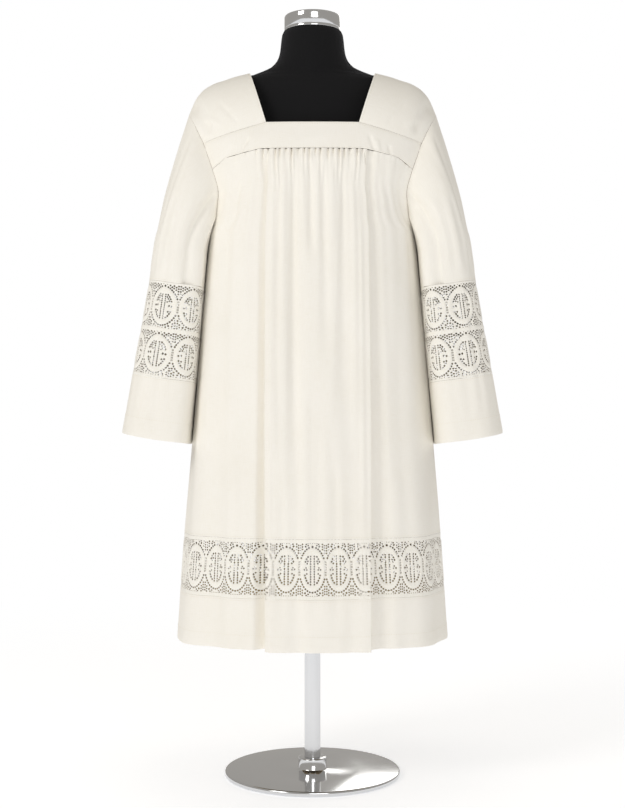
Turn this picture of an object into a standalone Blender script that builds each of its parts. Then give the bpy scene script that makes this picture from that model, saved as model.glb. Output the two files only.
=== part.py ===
# A surplice with a square yoke, gathers front and back, and lace at its hem and sleeves, on a dress form.
# Metres, +Z up, the front faces -Y. Left and right are the wearer's, so left is +X.
# The origin is the middle of the stand's underside.

import math
from collections import namedtuple
from functools import lru_cache

import bpy
import numpy as np
from mathutils import Vector
from mathutils.geometry import delaunay_2d_cdt

# Driving dimensions of the cloth
CLOTH_THICK = 0.002
SEAM_GAP = 0.0003
HEM_HEIGHT = 0.278
LACE_LOW_HEIGHT = 0.373
LACE_TOP_HEIGHT = 0.485
UNDERARM_HEIGHT = 1.080
ROUNDNESS = 2.5
GATHER_PITCH = 0.0115
GATHER_REACH = 0.115
GATHER_HEIGHT = 0.0021
COLUMN_SPREAD = 4
ARMHOLE_ROWS = (1.175, 1.146, 1.115)
PANEL_ROWS = (1.000, 0.890, 0.760, 0.620)
PLAIN_COLUMNS = (0.127, 0.139, 0.152, 0.165, 0.180)

# The body of the garment as level sections, from the hem up to the shoulders
Section = namedtuple("Section", "height half_width front_depth back_depth")
BODY_SECTIONS = [
    Section(0.278, 0.268, 0.191, 0.191),
    Section(0.486, 0.254, 0.180, 0.181),
    Section(0.654, 0.240, 0.170, 0.172),
    Section(0.850, 0.224, 0.158, 0.157),
    Section(1.000, 0.211, 0.149, 0.144),
    Section(1.080, 0.204, 0.144, 0.137),
    Section(1.146, 0.203, 0.139, 0.132),
    Section(1.193, 0.226, 0.135, 0.129),
    Section(1.245, 0.240, 0.130, 0.125),
    Section(1.295, 0.247, 0.119, 0.118),
]

# Seams of the yoke band: height over distance from the middle. The sides share their ends at the armholes.
SeamStop = namedtuple("SeamStop", "offset front_height back_height")
GATHER_SEAM = [
    SeamStop(0.000, 1.226, 1.240),
    SeamStop(0.100, 1.226, 1.240),
    SeamStop(0.165, 1.212, 1.218),
    SeamStop(0.194, 1.193, 1.193),
]
SHOULDER_SEAM = [
    SeamStop(0.000, 1.278, 1.295),
    SeamStop(0.089, 1.278, 1.295),
    SeamStop(0.212, 1.245, 1.245),
]
NECK_CORNER = 0.089
NECK_CORNER_COLUMN = 15 * GATHER_PITCH / 2
SEAM_END = GATHER_SEAM[-1].offset

# The shoulder line from the neck out to the sleeve, and the armhole line from there down to the underarm
LinePoint = namedtuple("LinePoint", "offset height")
SHOULDER_LINE = [
    LinePoint(0.1250, 1.396),
    LinePoint(0.1570, 1.388),
    LinePoint(0.1750, 1.382),
    LinePoint(0.2010, 1.373),
    LinePoint(0.2210, 1.359),
    LinePoint(0.2320, 1.345),
    LinePoint(0.2460, 1.314),
]
ARMHOLE_LINE = [
    LinePoint(0.2040, 1.080),
    LinePoint(0.1890, 1.115),
    LinePoint(0.1830, 1.146),
    LinePoint(0.1940, 1.193),
    LinePoint(0.2120, 1.245),
]
ARMHOLE_MIDDLE = Vector((0.220, 0.0, 1.197))
SHOULDER_MIDDLE = Vector((0.165, 0.0, 1.250))
YOKE_TURNS = (0.0, 0.25, 0.5, 0.75, 1.0)
YOKE_COLUMNS = 8

# Long folds. Places are columns, measured from the middle at the gathered seam.
# A fold of positive height stands proud, one of negative height is a trough.
Fold = namedtuple("Fold", "top_place hem_place top_half hem_half top_height hem_height")
FRONT_FOLDS = [
    Fold(-0.112, -0.110, 0.012, 0.014, -0.0030, -0.0070),
    Fold(0.116, 0.120, 0.012, 0.018, -0.0035, -0.0090),
    Fold(-0.030, -0.027, 0.022, 0.026, -0.0010, -0.0045),
    Fold(0.062, 0.068, 0.020, 0.024, -0.0010, -0.0040),
    Fold(-0.145, -0.141, 0.014, 0.016, -0.0010, -0.0080),
    Fold(-0.166, -0.164, 0.014, 0.016, 0.0010, 0.0050),
    Fold(0.146, 0.150, 0.014, 0.018, 0.0015, 0.0070),
    Fold(0.174, 0.172, 0.012, 0.014, -0.0010, -0.0060),
]
BACK_FOLDS = [
    Fold(-0.114, -0.118, 0.012, 0.017, -0.0030, -0.0085),
    Fold(0.110, 0.108, 0.012, 0.015, -0.0030, -0.0070),
    Fold(-0.058, -0.064, 0.022, 0.026, -0.0010, -0.0045),
    Fold(0.034, 0.030, 0.020, 0.024, -0.0010, -0.0050),
    Fold(0.143, 0.146, 0.014, 0.017, 0.0010, 0.0060),
    Fold(-0.149, -0.146, 0.014, 0.018, 0.0015, 0.0065),
    Fold(0.168, 0.170, 0.014, 0.015, -0.0010, -0.0065),
]
PLEAT_EDGES = (-0.0995, 0.1035)
PLEAT_EDGE_WIDTH = 0.0058
PLEAT_HEIGHT = 0.0090
PLEAT_HEM_DROP = 0.003
FOLD_FREE_EDGE = 0.012

# The sleeve as sections square to its own slope, from below the armhole to the hem of the cuff
SleeveRing = namedtuple("SleeveRing", "height centre half_width half_depth")
SLEEVE_RINGS = [
    SleeveRing(0.670, 0.3090, 0.0660, 0.112),
    SleeveRing(0.788, 0.2925, 0.0615, 0.109),
    SleeveRing(0.971, 0.2680, 0.0528, 0.104),
    SleeveRing(1.040, 0.2600, 0.0505, 0.103),
]
SLEEVE_TILT = math.radians(10.0)
SLEEVE_TWIST = math.radians(8.0)
SLEEVE_ROUNDNESS = 2.2
SLEEVE_CLEARANCE = 0.0045
SLEEVE_SEAM_OFF = 0.0006
SLEEVE_SEAM_LIFT = 0.0008
SLEEVE_TOP_HEIGHT = 1.040
SLEEVE_LACE_TOP = 0.971
SLEEVE_LACE_LOW = 0.788
CUFF_HEM_HEIGHT = 0.670
SLEEVE_STEPS = (0.0, 0.10, 0.22, 0.38, 0.58, 0.80, 1.0)

# Lace: repeats across each half of the hem band and each half of a sleeve row
HEM_REPEATS = 15
SLEEVE_REPEATS = 5
SLEEVE_LACE_ROWS = 2
LACE_EDGE_SHARE = 0.0008
# Gaps of one repeat, as corners in shares of its width and height from its lower left
GapCorner = namedtuple("GapCorner", "across up")
BAR_GAP = [
    GapCorner(0.455, 0.675),
    GapCorner(0.455, 0.770),
    GapCorner(0.385, 0.735),
    GapCorner(0.370, 0.690),
]
CORNER_GAP = [
    GapCorner(0.020, 0.090),
    GapCorner(0.140, 0.105),
    GapCorner(0.030, 0.165),
]

# The dress form
FormSection = namedtuple("FormSection", "height half_width front_depth back_depth roundness")
FORM_BODY = [
    FormSection(0.750, 0.150, 0.094, 0.100, 2.2),
    FormSection(0.762, 0.160, 0.101, 0.107, 2.2),
    FormSection(0.810, 0.166, 0.106, 0.112, 2.3),
    FormSection(0.880, 0.161, 0.101, 0.105, 2.3),
    FormSection(0.990, 0.149, 0.095, 0.092, 2.3),
    FormSection(1.100, 0.160, 0.105, 0.099, 2.3),
    FormSection(1.190, 0.170, 0.113, 0.104, 2.3),
    FormSection(1.260, 0.178, 0.106, 0.103, 2.2),
    FormSection(1.320, 0.184, 0.090, 0.092, 2.0),
    FormSection(1.355, 0.181, 0.080, 0.083, 1.8),
]
FORM_NECK = [
    FormSection(1.3990, 0.1040, 0.068, 0.070, 1.6),
    FormSection(1.4070, 0.0830, 0.067, 0.069, 1.9),
    FormSection(1.4200, 0.0700, 0.066, 0.067, 2.0),
    FormSection(1.4350, 0.0650, 0.065, 0.065, 2.0),
    FormSection(1.4730, 0.0615, 0.0615, 0.0615, 2.0),
    FormSection(1.4805, 0.0575, 0.0575, 0.0575, 2.0),
]
SHOULDER_REST = (0.1704, 0.1553, 0.1401, 0.1290)
SHOULDER_DEPTH = 0.069
SHOULDER_ROUNDNESS = 1.45
SHOULDER_CLEARANCE = 0.0009
RIDGE_SLANT = 1.06
FORM_COLUMNS = 28
CAP_RADIUS = 0.056
CAP_BOTTOM = 1.481
CAP_TOP = 1.513
CAP_BEVEL = 0.004
POLE_RADIUS = 0.016
BASE_RADIUS = 0.175
BASE_THICK = 0.010
BASE_BEVEL = 0.003
COLLAR_RADIUS = 0.028
COLLAR_TOP = 0.034
ROUND_COLUMNS = 32
POLE_COLUMNS = 20

FRONT = -1
BACK = 1
SIDES = {"left": 1, "right": -1}


# Interpolation and small helpers

def column_of(rows, name):
    return [getattr(row, name) for row in rows]


def blend_rows(rows, key, value, name):
    """Smooth value of one column of a table, read at a place on its key column."""
    keys = column_of(rows, key)
    values = column_of(rows, name)
    slopes = np.gradient(values, keys)
    if value <= keys[0]:
        return values[0] + slopes[0] * (value - keys[0])
    if value >= keys[-1]:
        return values[-1] + slopes[-1] * (value - keys[-1])
    i = int(np.searchsorted(keys, value)) - 1
    span = keys[i + 1] - keys[i]
    t = (value - keys[i]) / span
    start = (2 * t ** 3 - 3 * t ** 2 + 1) * values[i] + (t ** 3 - 2 * t ** 2 + t) * span * slopes[i]
    end = (3 * t ** 2 - 2 * t ** 3) * values[i + 1] + (t ** 3 - t ** 2) * span * slopes[i + 1]
    return start + end


def ease(low, high, value):
    t = min(1.0, max(0.0, (value - low) / (high - low)))
    return t * t * (3.0 - 2.0 * t)


def between(start, end, share):
    return start + (end - start) * share


def power(value, exponent):
    return max(0.0, value) ** exponent


# The body's base surface

def body_size(height, face):
    depth = "front_depth" if face == FRONT else "back_depth"
    half_width = blend_rows(BODY_SECTIONS, "height", height, "half_width")
    return half_width, blend_rows(BODY_SECTIONS, "height", height, depth)


def body_depth(x, height, face):
    """Distance in front of or behind the middle plane, at an offset from the middle."""
    half_width, depth = body_size(height, face)
    return depth * power(1.0 - power(abs(x) / half_width, ROUNDNESS), 1.0 / ROUNDNESS)


def body_reach(y, height):
    """Half width of the body at a distance in front of (-) or behind (+) the middle."""
    half_width, depth = body_size(height, FRONT if y < 0 else BACK)
    return half_width * power(1.0 - power(abs(y) / depth, ROUNDNESS), 1.0 / ROUNDNESS)


@lru_cache(maxsize=None)
def section_arc(height, face, samples=96):
    """Half of a level section: lengths along it from the middle, and offsets and depths there."""
    half_width, depth = body_size(height, face)
    angles = np.linspace(0.0, math.pi / 2, samples)
    xs = half_width * np.sin(angles) ** (2.0 / ROUNDNESS)
    ys = depth * np.maximum(0.0, np.cos(angles)) ** (2.0 / ROUNDNESS)
    ys[-1] = 0.0
    lengths = np.concatenate([[0.0], np.cumsum(np.hypot(np.diff(xs), np.diff(ys)))])
    return lengths, xs, ys


def armhole_offset(height):
    return blend_rows(ARMHOLE_LINE, "height", height, "offset")


@lru_cache(maxsize=None)
def panel_edge_arc(height, face):
    """Length from the middle of the panel to its edge: the side seam, or the armhole above the underarm."""
    lengths, xs, ys = section_arc(height, face)
    if height <= UNDERARM_HEIGHT:
        return lengths[-1]
    return float(np.interp(armhole_offset(height), xs, lengths))


def seam_height(stops, offset, face):
    name = "front_height" if face == FRONT else "back_height"
    return float(np.interp(abs(offset), column_of(stops, "offset"), column_of(stops, name)))


def spread_share(share, height, face):
    """Share of the panel's half width that a column takes: the middle hangs straight, the sides spread."""
    widest = panel_edge_arc(height, face)
    seam = panel_edge_arc(GATHER_SEAM[-1].front_height, face)
    straight = min(1.0, seam / widest)
    return share * (straight + (1.0 - straight) * share ** (COLUMN_SPREAD - 1))


def body_point(column, height, face):
    """Point and outward normal of the smooth body at a column, which is its offset at the gathered seam."""
    share = min(1.0, abs(column) / SEAM_END)
    arc = spread_share(share, height, face) * panel_edge_arc(height, face)
    lengths, xs, ys = section_arc(height, face)
    x = float(np.interp(arc, lengths, xs))
    y = float(np.interp(arc, lengths, ys))
    half_width, depth = body_size(height, face)
    across = power(x / half_width, ROUNDNESS - 1) / half_width
    out = power(y / depth, ROUNDNESS - 1) / depth
    normal = Vector((across, out, 0.0)).normalized()
    side = 1.0 if column >= 0 else -1.0
    return Vector((side * x, face * y, height)), Vector((side * normal.x, face * normal.y, 0.0))


def gather_relief(column, height, face):
    """Fine gathers under the band, each a little different, which run out below it."""
    if abs(column) > GATHER_REACH + GATHER_PITCH / 4:
        return 0.0
    number = round(column / GATHER_PITCH)
    below = seam_height(GATHER_SEAM, column, face) - height
    reach = 0.085 + 0.035 * math.sin(2.3 * number + face)
    tall = GATHER_HEIGHT * (1.0 + 0.3 * math.sin(1.7 * number - face))
    fade = 1.0 - ease(0.0, reach, below)
    return tall * fade * math.cos(2 * math.pi * column / GATHER_PITCH)


def pleat_share(column):
    """1 on the proud middle of the panel between its two pleat edges, 0 beside it."""
    low, high = PLEAT_EDGES
    return ease(low - PLEAT_EDGE_WIDTH, low, column) * (1.0 - ease(high, high + PLEAT_EDGE_WIDTH, column))


def fold_relief(column, height, face):
    """How far the panel stands out of the smooth body at a column and height."""
    drop = (GATHER_SEAM[0].front_height - height) / (GATHER_SEAM[0].front_height - HEM_HEIGHT)
    relief = gather_relief(column, height, face)
    for fold in FRONT_FOLDS if face == FRONT else BACK_FOLDS:
        place = between(fold.top_place, fold.hem_place, drop)
        half = between(fold.top_half, fold.hem_half, drop)
        tall = between(fold.top_height, fold.hem_height, drop ** 0.8 if drop > 0 else 0.0)
        away = abs(column - place) / half
        if away < 1.0:
            relief += tall * 0.5 * (1.0 + math.cos(math.pi * away))
    relief += PLEAT_HEIGHT * ease(0.0, 0.6, drop) * pleat_share(column)
    return relief * ease(0.0, FOLD_FREE_EDGE, SEAM_END - abs(column))


def draped_point(column, height, face):
    point, normal = body_point(column, height, face)
    return point + normal * fold_relief(column, height, face), normal


# Sheets of cloth with a thickness

def make_sheet(rows, columns, closed=False):
    """Triangles of a grid of points, row after row; a closed one joins its last column to its first."""
    faces = []
    for row in range(rows - 1):
        for column in range(columns if closed else columns - 1):
            beside = (column + 1) % columns
            low, high = row * columns, (row + 1) * columns
            faces.append((low + column, low + beside, high + beside))
            faces.append((low + column, high + beside, high + column))
    return faces


def thicken(outer, inner, faces):
    """Closed body between two copies of a sheet, with walls round every free edge, gaps in it too."""
    count = len(outer)
    edges = set()
    for face in faces:
        for start, end in zip(face, face[1:] + face[:1]):
            edges.add((start, end))
    body = list(faces)
    body += [tuple(count + corner for corner in reversed(face)) for face in faces]
    for start, end in sorted(edges):
        if (end, start) not in edges:
            body.append((end, start, count + start, count + end))
    return list(outer) + list(inner), body


def add_body(name, points, faces, material, smooth_angle=40.0):
    mesh = bpy.data.meshes.new(name)
    mesh.from_pydata([tuple(point) for point in points], [], faces)
    mesh.validate()
    mesh.shade_smooth()
    mesh.set_sharp_from_angle(angle=math.radians(smooth_angle))
    mesh.materials.append(material)
    body = bpy.data.objects.new(name, mesh)
    bpy.context.scene.collection.objects.link(body)
    return body


def flip_if_inside_out(points, faces):
    """Turn all faces round when the body's volume comes out negative."""
    volume = 0.0
    for face in faces:
        first = Vector(points[face[0]])
        for second, third in zip(face[1:], face[2:]):
            volume += first.dot(Vector(points[second]).cross(Vector(points[third])))
    if volume < 0:
        return [tuple(reversed(face)) for face in faces]
    return faces


def add_cloth(name, outer, normals, faces, material):
    inner = [point - normal * CLOTH_THICK for point, normal in zip(outer, normals)]
    points, body = thicken(outer, inner, faces)
    return add_body(name, points, flip_if_inside_out(points, body), material)


# Body panels, hem lace and hem band

def gather_columns():
    """Columns at each gather's crest and hollow, and wider ones out to the armhole."""
    count = round(GATHER_REACH / (GATHER_PITCH / 2))
    inner = [step * GATHER_PITCH / 2 for step in range(-count, count + 1)]
    outer = [*PLAIN_COLUMNS, SEAM_END]
    return [-column for column in reversed(outer)] + inner + outer


def gather_seam_point(column, face):
    """Where a column meets the band's lower seam on the smooth body."""
    height = seam_height(GATHER_SEAM, column, face)
    for _ in range(4):
        point = body_point(column, height, face)[0]
        height = seam_height(GATHER_SEAM, point.x, face)
    return body_point(column, height, face)


def add_body_panel(name, face, material):
    columns = gather_columns()
    heights = [*ARMHOLE_ROWS, UNDERARM_HEIGHT, *PANEL_ROWS, LACE_TOP_HEIGHT + SEAM_GAP / 2]
    outer = []
    normals = []
    for height in [None] + heights:
        for column in columns:
            level = height or gather_seam_point(column, face)[0].z - SEAM_GAP
            point, normal = draped_point(column, level, face)
            outer.append(point + Vector((0.0, face * SEAM_GAP / 2, 0.0)))
            normals.append(normal)
    faces = make_sheet(len(heights) + 1, len(columns))
    return add_cloth(name, outer, normals, faces, material)


def column_at_arc(arc, height, face):
    """Column whose cloth lies at a length from the middle of the section."""
    shares = np.linspace(0.0, 1.0, 120)
    edge = panel_edge_arc(height, face)
    arcs = [spread_share(share, height, face) * edge for share in shares]
    share = float(np.interp(abs(arc), arcs, shares))
    return math.copysign(share * SEAM_END, arc)


def add_hem_band(name, face, material):
    half = HEM_REPEATS
    outer = []
    normals = []
    for share in (0.0, 0.5, 1.0):
        level = between(LACE_LOW_HEIGHT - SEAM_GAP / 2, HEM_HEIGHT, share)
        edge = panel_edge_arc(level, face)
        for step in range(-half, half + 1):
            column = column_at_arc(edge * step / half, level, face)
            height = level - PLEAT_HEM_DROP * pleat_share(column) * share
            point, normal = draped_point(column, height, face)
            outer.append(point + Vector((0.0, face * SEAM_GAP / 2, 0.0)))
            normals.append(normal)
    faces = make_sheet(3, 2 * half + 1)
    return add_cloth(name, outer, normals, faces, material)


def lace_gaps():
    """The four largest gaps of a repeat: beside the bar, and in both lower corners."""
    gaps = []
    for gap in (BAR_GAP, CORNER_GAP):
        gaps.append([(corner.across, corner.up) for corner in gap])
        gaps.append([(1.0 - corner.across, corner.up) for corner in reversed(gap)])
    return gaps


def inside(point, loop):
    hit = False
    for (x0, y0), (x1, y1) in zip(loop, loop[1:] + loop[:1]):
        if (y0 > point[1]) != (y1 > point[1]):
            if point[0] < x0 + (point[1] - y0) * (x1 - x0) / (y1 - y0):
                hit = not hit
    return hit


def lace_repeat():
    """Corners and triangles of one repeat, one unit wide and high, with its gaps cut through."""
    gaps = lace_gaps()
    points = [(0.0, 0.0), (0.5, 0.0), (1.0, 0.0), (1.0, 1.0), (0.5, 1.0), (0.0, 1.0)]
    edges = [(i, (i + 1) % len(points)) for i in range(len(points))]
    for gap in gaps:
        start = len(points)
        points += gap
        edges += [(start + i, start + (i + 1) % len(gap)) for i in range(len(gap))]
    made = delaunay_2d_cdt([Vector(point) for point in points], edges, [], 0, 1e-6)
    corners = [(point.x, point.y) for point in made[0]]
    triangles = []
    for face in made[2]:
        middle = [sum(corners[corner][axis] for corner in face) / 3.0 for axis in (0, 1)]
        if not any(inside(middle, gap) for gap in gaps):
            triangles.append(tuple(face))
    return corners, triangles


def lace_sheet(repeats, rows):
    """Repeats side by side and row over row, sharing the corners where they meet."""
    corners, triangles = lace_repeat()
    index = {}
    points = []
    faces = []
    for row in range(rows):
        for repeat in range(repeats):
            local = []
            for across, up in corners:
                key = (round(repeat + across, 5), round(row + up, 5))
                if key not in index:
                    index[key] = len(points)
                    points.append(key)
                local.append(index[key])
            faces += [tuple(local[corner] for corner in triangle) for triangle in triangles]
    return points, faces


def add_hem_lace(name, face, material):
    points, faces = lace_sheet(HEM_REPEATS, 1)
    outer = []
    normals = []
    low = LACE_LOW_HEIGHT + SEAM_GAP / 2
    high = LACE_TOP_HEIGHT - SEAM_GAP / 2
    for across, up in points:
        height = between(low, high, up)
        arc = panel_edge_arc(height, face) * (2.0 * across / HEM_REPEATS - 1.0)
        point, normal = draped_point(column_at_arc(arc, height, face), height, face)
        outer.append(point + Vector((0.0, face * SEAM_GAP / 2, 0.0)))
        normals.append(normal)
    return add_cloth(name, outer, normals, faces, material)


# Yoke

def add_yoke_band(name, face, material):
    outer = []
    normals = []
    for share in (0.0, 0.5, 1.0):
        for column in gather_columns():
            low = gather_seam_point(column, face)[0]
            high_offset = band_top_offset(column)
            high_height = seam_height(SHOULDER_SEAM, high_offset, face) - SEAM_GAP / 2
            x = between(low.x, high_offset, share)
            height = between(low.z + SEAM_GAP, high_height, share)
            outer.append(Vector((x, face * body_depth(x, height, face), height)))
            normals.append(body_normal(x, height, face))
    faces = make_sheet(3, len(gather_columns()))
    return add_cloth(name, outer, normals, faces, material)


def band_top_offset(column):
    """Offset at the band's upper seam over a column of its lower seam."""
    columns = [0.0, NECK_CORNER_COLUMN, SEAM_END]
    ends = [0.0, NECK_CORNER, SHOULDER_SEAM[-1].offset]
    return math.copysign(float(np.interp(abs(column), columns, ends)), column)


def body_normal(x, height, face):
    half_width, depth = body_size(height, face)
    y = body_depth(x, height, face)
    across = power(abs(x) / half_width, ROUNDNESS - 1) / half_width
    out = power(y / depth, ROUNDNESS - 1) / depth
    return Vector((math.copysign(across, x), face * out, 0.0)).normalized()


def shoulder_height(offset):
    return blend_rows(SHOULDER_LINE, "offset", offset, "height")


def yoke_point(share, turn, face):
    """Point of a shoulder piece: share runs from neck to armhole, turn from the band to the ridge."""
    low_offset = between(NECK_CORNER, SHOULDER_SEAM[-1].offset, share)
    ridge_offset = between(SHOULDER_LINE[0].offset, SHOULDER_LINE[-1].offset, share)
    low_height = seam_height(SHOULDER_SEAM, low_offset, face)
    ridge_height = shoulder_height(ridge_offset)
    rise = math.sin(turn * math.pi / 2)
    height = between(low_height, ridge_height, rise)
    x = between(low_offset, ridge_offset, rise)
    depth = body_depth(low_offset, low_height, face) * math.cos(turn * math.pi / 2)
    return Vector((x, face * depth, height))


def yoke_path(share):
    """Places over the shoulder from the front band's seam to the back band's."""
    path = [yoke_point(share, turn, FRONT) for turn in YOKE_TURNS]
    path += [yoke_point(share, turn, BACK) for turn in reversed(YOKE_TURNS[:-1])]
    return path


def grid_normals(grid):
    """Unit normals of a grid of points from its neighbours along and across."""
    normals = []
    for row, line in enumerate(grid):
        for column in range(len(line)):
            above = grid[min(row + 1, len(grid) - 1)][column]
            below = grid[max(row - 1, 0)][column]
            beside = line[min(column + 1, len(line) - 1)]
            before = line[max(column - 1, 0)]
            normals.append((beside - before).cross(above - below).normalized())
    return normals


def add_shoulder_piece(name, side, material):
    grid = [yoke_path(step / YOKE_COLUMNS) for step in range(YOKE_COLUMNS + 1)]
    for line in grid:
        line[0].z += SEAM_GAP / 2
        line[-1].z += SEAM_GAP / 2
    normals = grid_normals(grid)
    for line in range(len(grid)):
        for end in (0, len(grid[0]) - 1):
            normals[line * len(grid[0]) + end].z = 0.0
            normals[line * len(grid[0]) + end].normalize()
    outer = []
    placed = []
    for point, normal in zip([point for line in grid for point in line], normals):
        if normal.dot(point - SHOULDER_MIDDLE) < 0:
            normal = -normal
        outer.append(Vector((side * point.x, point.y, point.z)))
        placed.append(Vector((side * normal.x, normal.y, normal.z)))
    faces = make_sheet(len(grid), len(grid[0]))
    return add_cloth(name, outer, placed, faces, material)


# Sleeves

def armhole_stations():
    """Points and outward normals of the armhole's edge, from the shoulder round by the front."""
    stations = []
    for face in (FRONT, BACK):
        half = []
        for turn in reversed(YOKE_TURNS):
            rise = math.sin(turn * math.pi / 2)
            out = Vector((between(0.62, 0.90, rise), face * math.cos(turn * math.pi / 2), 0.3))
            half.append((yoke_point(1.0, turn, face), out.normalized()))
        for height in (GATHER_SEAM[-1].front_height, *ARMHOLE_ROWS, UNDERARM_HEIGHT):
            half.append(body_point(SEAM_END, height, face))
        stations.append(half)
    front, back = stations
    return front + back[-2:0:-1]


def sleeve_ring_point(angle, height):
    """Point of the sleeve below the armhole: angle 0 is its outer edge, a quarter turn the front."""
    centre = blend_rows(SLEEVE_RINGS, "height", height, "centre")
    half_width = blend_rows(SLEEVE_RINGS, "height", height, "half_width")
    half_depth = blend_rows(SLEEVE_RINGS, "height", height, "half_depth")
    bend = 2.0 / SLEEVE_ROUNDNESS
    across = math.copysign(power(abs(math.cos(angle)), bend), math.cos(angle)) * half_width
    ahead = -math.copysign(power(abs(math.sin(angle)), bend), math.sin(angle)) * half_depth
    turned = across * math.cos(SLEEVE_TWIST) - ahead * math.sin(SLEEVE_TWIST)
    y = across * math.sin(SLEEVE_TWIST) + ahead * math.cos(SLEEVE_TWIST)
    x = centre + turned * math.cos(SLEEVE_TILT)
    z = height + turned * math.sin(SLEEVE_TILT)
    return clear_of_body(Vector((x, y, z)))


def clear_of_body(point):
    """Move a point of the sleeve out to the side until it is clear of the body's cloth."""
    if point.z > UNDERARM_HEIGHT:
        return point
    nearest = body_reach(point.y, point.z) + SLEEVE_CLEARANCE
    return Vector((max(point.x, nearest), point.y, point.z))


def sleeve_angles(stations):
    """Angle of each armhole station, by its share of the way round."""
    points = [station[0] for station in stations]
    count = len(points) // 2
    steps = [(end - start).length for start, end in zip(points, points[1:] + points[:1])]
    front = sum(steps[:count])
    back = sum(steps[count:])
    angles = [0.0]
    for number, step in enumerate(steps[:-1]):
        angles.append(angles[-1] + math.pi * step / (front if number < count else back))
    return angles


def sleeve_leave(angle):
    """Direction in which the cloth leaves the armhole seam."""
    ahead = math.sin(angle)
    return Vector((0.30 + 0.36 * ahead ** 6, -0.55 * ahead, -0.95 + 0.50 * ahead ** 4)).normalized()


def curve_point(start, leave, end, arrive, t):
    """Point of a smooth curve between two places with given slopes."""
    point = start * (2 * t ** 3 - 3 * t ** 2 + 1) + leave * (t ** 3 - 2 * t ** 2 + t)
    return point + end * (3 * t ** 2 - 2 * t ** 3) + arrive * (t ** 3 - t ** 2)


def add_upper_sleeve(name, side, material):
    stations = armhole_stations()
    angles = sleeve_angles(stations)
    grid = []
    for share in SLEEVE_STEPS:
        ring = []
        for (seam, normal), angle in zip(stations, angles):
            target = sleeve_ring_point(angle, SLEEVE_TOP_HEIGHT)
            reach = (target - seam).length
            leave = sleeve_leave(angle) * reach
            arrive = Vector((math.sin(SLEEVE_TILT), 0.0, -math.cos(SLEEVE_TILT))) * reach
            point = curve_point(seam, leave, target, arrive, share)
            ring.append(clear_of_body(point) if share > 0 else point)
        grid.append(ring)
    grid.append([sleeve_ring_point(angle, SLEEVE_LACE_TOP + SEAM_GAP / 2) for angle in angles])
    normals = closed_normals(grid)
    outer = []
    inner = []
    for row, ring in enumerate(grid):
        for number, point in enumerate(ring):
            normal = normals[row][number]
            if row == 0:
                point, normal = seam_edge(stations, number, point, normal, grid[1][number])
            outer.append(point)
            inner.append(point - normal * CLOTH_THICK)
    faces = make_sheet(len(grid), len(stations), closed=True)
    points, body = thicken(outer, inner, faces)
    points = [Vector((side * point.x, point.y, point.z)) for point in points]
    return add_body(name, points, flip_if_inside_out(points, body), material)


def seam_edge(stations, number, point, normal, after):
    """Edge of the sleeve at the armhole: set off from the panel's edge, and never turned in under it."""
    seam, out = stations[number]
    before = stations[number - 1][0]
    beyond = stations[(number + 1) % len(stations)][0]
    along = (beyond - before).normalized()
    off = out.cross(along)
    if off.dot(ARMHOLE_MIDDLE - seam) < 0:
        off = -off
    off = (off - along * off.dot(along)).normalized()
    turned_in = max(0.0, normal.dot(off))
    normal = (normal - off * turned_in).normalized()
    back = max(0.0, -(after - seam).normalized().dot(off))
    return point + off * SLEEVE_SEAM_OFF + out * SLEEVE_SEAM_LIFT * back, normal


def closed_normals(grid):
    """Outward unit normals of a closed tube of rings."""
    normals = []
    for row, ring in enumerate(grid):
        middle = sum(ring, Vector()) / len(ring)
        line = []
        for number in range(len(ring)):
            above = grid[max(row - 1, 0)][number]
            below = grid[min(row + 1, len(grid) - 1)][number]
            around = ring[(number + 1) % len(ring)] - ring[number - 1]
            normal = around.cross(above - below).normalized()
            if normal.dot(ring[number] - middle) < 0:
                normal = -normal
            line.append(normal)
        normals.append(line)
    for number, normal in enumerate(normals[0]):
        if normal.dot(normals[1][number]) < 0:
            normals[0][number] = -normal
    return normals


def even_angles(height, samples=240):
    """Angles of the sleeve ring at even shares of its length round."""
    angles = np.linspace(0.0, 2 * math.pi, samples)
    ring = [sleeve_ring_point(angle, height) for angle in angles]
    steps = [(end - start).length for start, end in zip(ring, ring[1:])]
    lengths = np.concatenate([[0.0], np.cumsum(steps)])
    return lengths / lengths[-1], angles


def tube_piece(share, height, table):
    """Point and outward normal of the sleeve at a share of the way round."""
    angle = float(np.interp(share, *table))
    point = sleeve_ring_point(angle, height)
    step = 0.02
    around = sleeve_ring_point(angle + step, height) - sleeve_ring_point(angle - step, height)
    down = sleeve_ring_point(angle, height - step) - sleeve_ring_point(angle, height + step)
    normal = around.cross(down).normalized()
    centre = Vector((blend_rows(SLEEVE_RINGS, "height", height, "centre"), 0.0, height))
    if normal.dot(point - centre) < 0:
        normal = -normal
    return point, normal


def add_sleeve_lace(name, side, face, material):
    points, faces = lace_sheet(SLEEVE_REPEATS, SLEEVE_LACE_ROWS)
    table = even_angles(between(SLEEVE_LACE_LOW, SLEEVE_LACE_TOP, 0.5))
    low = SLEEVE_LACE_LOW + SEAM_GAP / 2
    high = SLEEVE_LACE_TOP - SEAM_GAP / 2
    outer = []
    normals = []
    for across, up in points:
        share = between(LACE_EDGE_SHARE, 0.5 - LACE_EDGE_SHARE, across / SLEEVE_REPEATS)
        if face == BACK:
            share = 1.0 - share
        point, normal = tube_piece(share, between(low, high, up / SLEEVE_LACE_ROWS), table)
        outer.append(Vector((side * point.x, point.y, point.z)))
        normals.append(Vector((side * normal.x, normal.y, normal.z)))
    return add_cloth(name, outer, normals, faces, material)


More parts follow.
